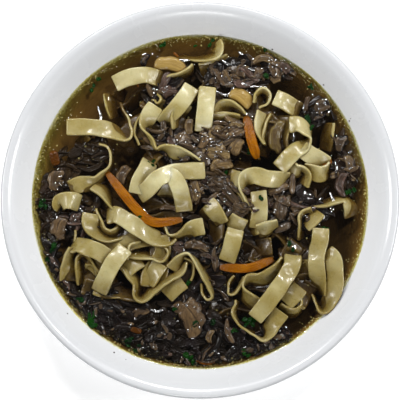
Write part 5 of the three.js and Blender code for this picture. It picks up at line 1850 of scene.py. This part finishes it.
@dataclass
class WetBeads:
    """Beads of broth against the food, and flat drops on the mushrooms, which catch the light."""

    width: float = 1.7
    height: float = 0.8
    lift: float = 0.45
    rows: int = 48
    columns: int = 8
    unevenness: float = 0.2
    drops_per_patch: int = 20
    drop_size: tuple[float, float] = (0.3, 1.0)
    drop_stretch: tuple[float, float] = (0.25, 0.8)
    segments: tuple[int, int] = (10, 6)
    flatness: float = 0.3
    seed: int = 8

    def bead(self, pile: Pile, line: tuple[tuple[float, float], ...]) -> None:
        """Shapes one long bead on the broth.

        Args:
            pile: The pile that it is added to.
            line: Its middle line.
        """
        points = [Vector((x, y + FOOD_OFFSET_Y, 0)) for x, y in line]
        shape, grid = pile.sheet(self.columns, self.rows)
        for vertex in grid:
            turn, share = math.pi * vertex.co.x, (vertex.co.y + 1) / 2
            middle = catmull_rom(points, share)
            middle.z = LEVEL + self.lift
            along = tangent(points, share)
            across = Vector((-along.y, along.x, 0))
            swell = math.sin(math.pi * min(max(share, 0.02), 0.98)) ** 0.5
            swell *= 1 + self.unevenness * noise.noise(middle * 0.5)
            vertex.co = (middle + across * (math.cos(turn) * self.width / 2 * swell)
                         + Vector((0, 0, math.sin(turn) * self.height * swell))) * MM
        bmesh.ops.remove_doubles(shape, verts=shape.verts, dist=1e-7)
        pile.add(shape)

    def drop(self, pile: Pile, chance: random.Random, patch: Patch, mushrooms: list[BVHTree],
             others: list[BVHTree]) -> None:
        """Lays one drop somewhere on a patch, where a mushroom is uppermost.

        Args:
            pile: The pile that it is added to.
            chance: The source of its place and size.
            patch: The patch.
            mushrooms: The mushrooms' surfaces.
            others: The surfaces of the noodles and carrots.
        """
        spot = patch.spot(chance)
        place, facing = top_at(spot.x, spot.y, mushrooms)
        size = chance.uniform(*self.drop_size)
        if top_at(spot.x, spot.y, others)[0].z >= place.z:
            return
        stretch = chance.uniform(*self.drop_stretch)
        turn = Matrix.Rotation(chance.uniform(0, math.tau), 3, "Z")
        lay = facing.to_track_quat("Z", "Y").to_matrix() @ turn
        pile.drop(size, self.segments, (1, stretch, self.flatness), lay, place)

    def build(self, mushrooms: list[BVHTree], others: list[BVHTree]) -> bpy.types.Object:
        """Shapes the beads and drops and dresses them.

        Args:
            mushrooms: The mushrooms' surfaces.
            others: The surfaces of the noodles and carrots.

        Returns:
            The beads.
        """
        pile = Pile()
        chance = random.Random(self.seed)
        for line in BEADS:
            self.bead(pile, line)
        for name, patch in PATCHES.items():
            if name != "sunk_all":
                for _ in range(self.drops_per_patch):
                    self.drop(pile, chance, patch, mushrooms, others)
        return place_piece("wet_beads", pile.close(), [WetFinish().material()], ("broth",))


@dataclass
class HerbLeaves:
    """Chopped leaves that float on the broth and lie on the food."""

    thickness: float = 0.25
    lift: float = 0.25
    lobes: int = 3
    columns: int = 4
    rows: int = 10
    #: A lobe's curl and teeth, its width as a share of its length, and how far it leans, in radians.
    curl: tuple[float, float] = (-0.3, 0.5)
    teeth: tuple[float, float] = (2, 4)
    broadness: float = 0.34
    lean: float = 0.3
    #: A lobe's length and distance from the middle as shares of the leaf, and its scatter.
    lobe_length: tuple[float, float] = (0.34, 0.62)
    spread: float = 0.28
    height_spread: float = 0.2
    turn_spread: float = 0.8

    def lobe(self, pile: Pile, chance: random.Random, place: Vector, length: float, turn: float) -> None:
        """Shapes one lobe of a leaf.

        Args:
            pile: The pile that it is added to.
            chance: The source of its unevenness.
            place: Its middle, in millimetres.
            length: Its length, in millimetres.
            turn: Its turn in radians.
        """
        curl, seed, teeth = chance.uniform(*self.curl), chance.uniform(0, 90), chance.uniform(*self.teeth)
        turning = Matrix.Rotation(turn, 3, "Z") @ Matrix.Rotation(chance.uniform(-self.lean, self.lean), 3, "X")
        shape, grid = pile.sheet(self.rows, self.columns)
        for vertex in grid:
            u, v, _ = vertex.co
            half = length * self.broadness * (1 - 0.8 * abs(u) ** 1.6)
            half *= 1 + 0.3 * math.sin(u * teeth * math.pi + seed)
            half *= 1 + 0.5 * noise.noise(Vector((u * 1.6, v * 1.2, seed)))
            local = Vector((u * length / 2, v * half, curl * length * 0.3 * (v * v - u * u * 0.4)))
            local.z += 0.4 * noise.noise(Vector((u * 1.3, v * 1.3, seed)))
            vertex.co = (turning @ local + place) * MM
        pile.add(shape)

    def build(self, trees: list[BVHTree]) -> bpy.types.Object:
        """Shapes the leaves where they lie and dresses them.

        Args:
            trees: The surfaces that they may lie on.

        Returns:
            The leaves.
        """
        pile = Pile()
        for x, y, length, turn in HERBS:
            ground = top_at(x, y + FOOD_OFFSET_Y, trees)[0].z / MM
            chance = random.Random(f"{x} {y}")
            for _ in range(self.lobes):
                spread = length * self.spread
                place = Vector((x + chance.uniform(-spread, spread),
                                y + FOOD_OFFSET_Y + chance.uniform(-spread, spread),
                                ground + self.lift + chance.uniform(-self.height_spread, self.height_spread)))
                self.lobe(pile, chance, place, length * chance.uniform(*self.lobe_length),
                          math.radians(turn) + chance.gauss(0, self.turn_spread))
        piece = place_piece("herb_leaves", pile.close(), [HerbFinish().material()], ("broth",))
        thicken(piece, self.thickness, rounded=False)
        return piece


@dataclass
class RimCrumbs:
    """A few dark crumbs that lie on the rim."""

    plate: SoupPlate = field(default_factory=SoupPlate)
    unevenness: float = 0.3
    flatness: float = 0.6
    lift: float = 0.2

    def build(self) -> bpy.types.Object:
        """Lays the crumbs on the plate's wall and dresses them."""
        shape = bmesh.new()
        points = self.plate.inner_wall()
        for x, y, size in RIM_CRUMBS:
            out = math.hypot(x, y)
            height = next(low.y + (high.y - low.y) * (out - low.x) / (high.x - low.x)
                          for low, high in zip(points, points[1:]) if low.x <= out <= high.x)
            ball = bmesh.ops.create_icosphere(shape, subdivisions=2, radius=size / 2 * MM)["verts"]
            for vertex in ball:
                vertex.co *= 1 + self.unevenness * noise.noise(vertex.co / MM + Vector((x, y, 0)))
                vertex.co.z *= self.flatness
                vertex.co += Vector((x, y, height + size * self.lift)) * MM
        return place_piece("rim_crumbs", shape, [CrumbFinish().material()])


# ---------------------------------------------------------------- the studio

@dataclass(frozen=True)
class Lamp:
    """A soft lamp: its place, width and height in metres, and its power in watts."""

    place: tuple[float, float, float]
    size: tuple[float, float]
    power: float


LAMPS: dict[str, Lamp] = {
    "key": Lamp((0.1, 0.85, 0.8), (0.35, 0.22), 5.9),
    "left": Lamp((-0.85, 0.15, 0.75), (0.3, 0.3), 4.6),
    "right": Lamp((0.85, 0.0, 0.75), (0.3, 0.3), 5.4),
    "near": Lamp((0.0, -0.9, 0.6), (0.4, 0.25), 2.65),
    "window": Lamp((-0.3, 0.62, 0.8), (0.12, 0.08), 2.6),
    "glint": Lamp((0.25, 0.35, 0.9), (0.04, 0.04), 1.4),
}


@dataclass
class Studio:
    """The pale floor, the soft lights and the camera."""

    sky: tuple[float, float, float, float] = (0.97, 0.98, 1, 1)
    sky_strength: float = 0.12
    #: The height that the lamps face, and how far the floor lies under the plate, in metres.
    aim: float = 0.02
    floor_gap: float = 0.0001
    floor_size: float = 4.0
    elevation: float = 84.0
    distance: float = 0.9
    sensor: float = 36.0

    def floor(self) -> None:
        """Lays the floor."""
        shape = bmesh.new()
        bmesh.ops.create_grid(shape, x_segments=1, y_segments=1, size=self.floor_size / 2)
        bmesh.ops.translate(shape, verts=shape.verts, vec=(0, 0, -self.floor_gap))
        mesh = bpy.data.meshes.new("floor")
        shape.to_mesh(mesh)
        shape.free()
        mesh.materials.append(FloorFinish().material())
        floor = bpy.data.objects.new("floor", mesh)
        bpy.context.scene.collection.objects.link(floor)

    def hang(self, name: str, lamp: Lamp) -> None:
        """Hangs a lamp so that it faces the plate.

        Args:
            name: The lamp's name.
            lamp: Its place, size and power.
        """
        light = bpy.data.lights.new(name, "AREA")
        light.shape = "RECTANGLE"
        light.size, light.size_y = lamp.size
        light.energy = lamp.power
        hung = bpy.data.objects.new(name, light)
        hung.location = lamp.place
        hung.rotation_mode = "QUATERNION"
        hung.rotation_quaternion = (Vector((0, 0, self.aim)) - Vector(lamp.place)).to_track_quat("-Z", "Y")
        bpy.context.scene.collection.objects.link(hung)

    def camera(self) -> None:
        """Stands the camera over the plate, so that its rim just fills the frame."""
        lowest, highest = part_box("plate")
        half = (highest.x - lowest.x) / 2
        tilt = math.radians(self.elevation)
        nearer_side_grows = half * half * math.cos(tilt) / self.distance
        target = Vector((0, -nearer_side_grows, highest.z))
        back = Vector((0, -math.cos(tilt), math.sin(tilt)))
        data = bpy.data.cameras.new("camera")
        data.sensor_width = self.sensor
        data.lens = self.sensor / 2 * self.distance / half
        camera = bpy.data.objects.new("camera", data)
        camera.location = target + back * self.distance
        camera.rotation_mode = "QUATERNION"
        camera.rotation_quaternion = (-back).to_track_quat("-Z", "Y")
        bpy.context.scene.collection.objects.link(camera)
        bpy.context.scene.camera = camera

    def build(self) -> None:
        """Sets the studio up."""
        self.camera()
        self.floor()
        world = bpy.data.worlds.new("studio")
        world.use_nodes = True
        background = world.node_tree.nodes["Background"]
        background.inputs["Color"].default_value = self.sky
        background.inputs["Strength"].default_value = self.sky_strength
        bpy.context.scene.world = world
        bpy.context.scene.view_settings.view_transform = "Standard"
        for name, lamp in LAMPS.items():
            self.hang(name, lamp)


def main() -> None:
    """Builds the dressed part in order."""
    logging.basicConfig(level=logging.INFO, format="%(message)s")
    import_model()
    Studio().build()
    plate = SoupPlate()
    plate.build()
    noodles = NoodleHeap().build()
    finishes = {flesh: finish.material() for flesh, finish in MUSHROOM_FINISHES.items()}
    mushrooms = MushroomPieces(finishes).build()
    scraps = MushroomScraps(finishes, plate).build()
    carrots = CarrotSticks().build()
    bpy.context.view_layer.update()
    mushroom_trees, other_trees = surfaces([*mushrooms, *scraps]), surfaces([*noodles, carrots])
    trees = [*mushroom_trees, *other_trees]
    Broth(plate).build(trees)
    FatDroplets(plate).build()
    HerbLeaves().build(trees)
    WetBeads().build(mushroom_trees, other_trees)
    RimCrumbs(plate).build()


if __name__ == "__main__":
    main()
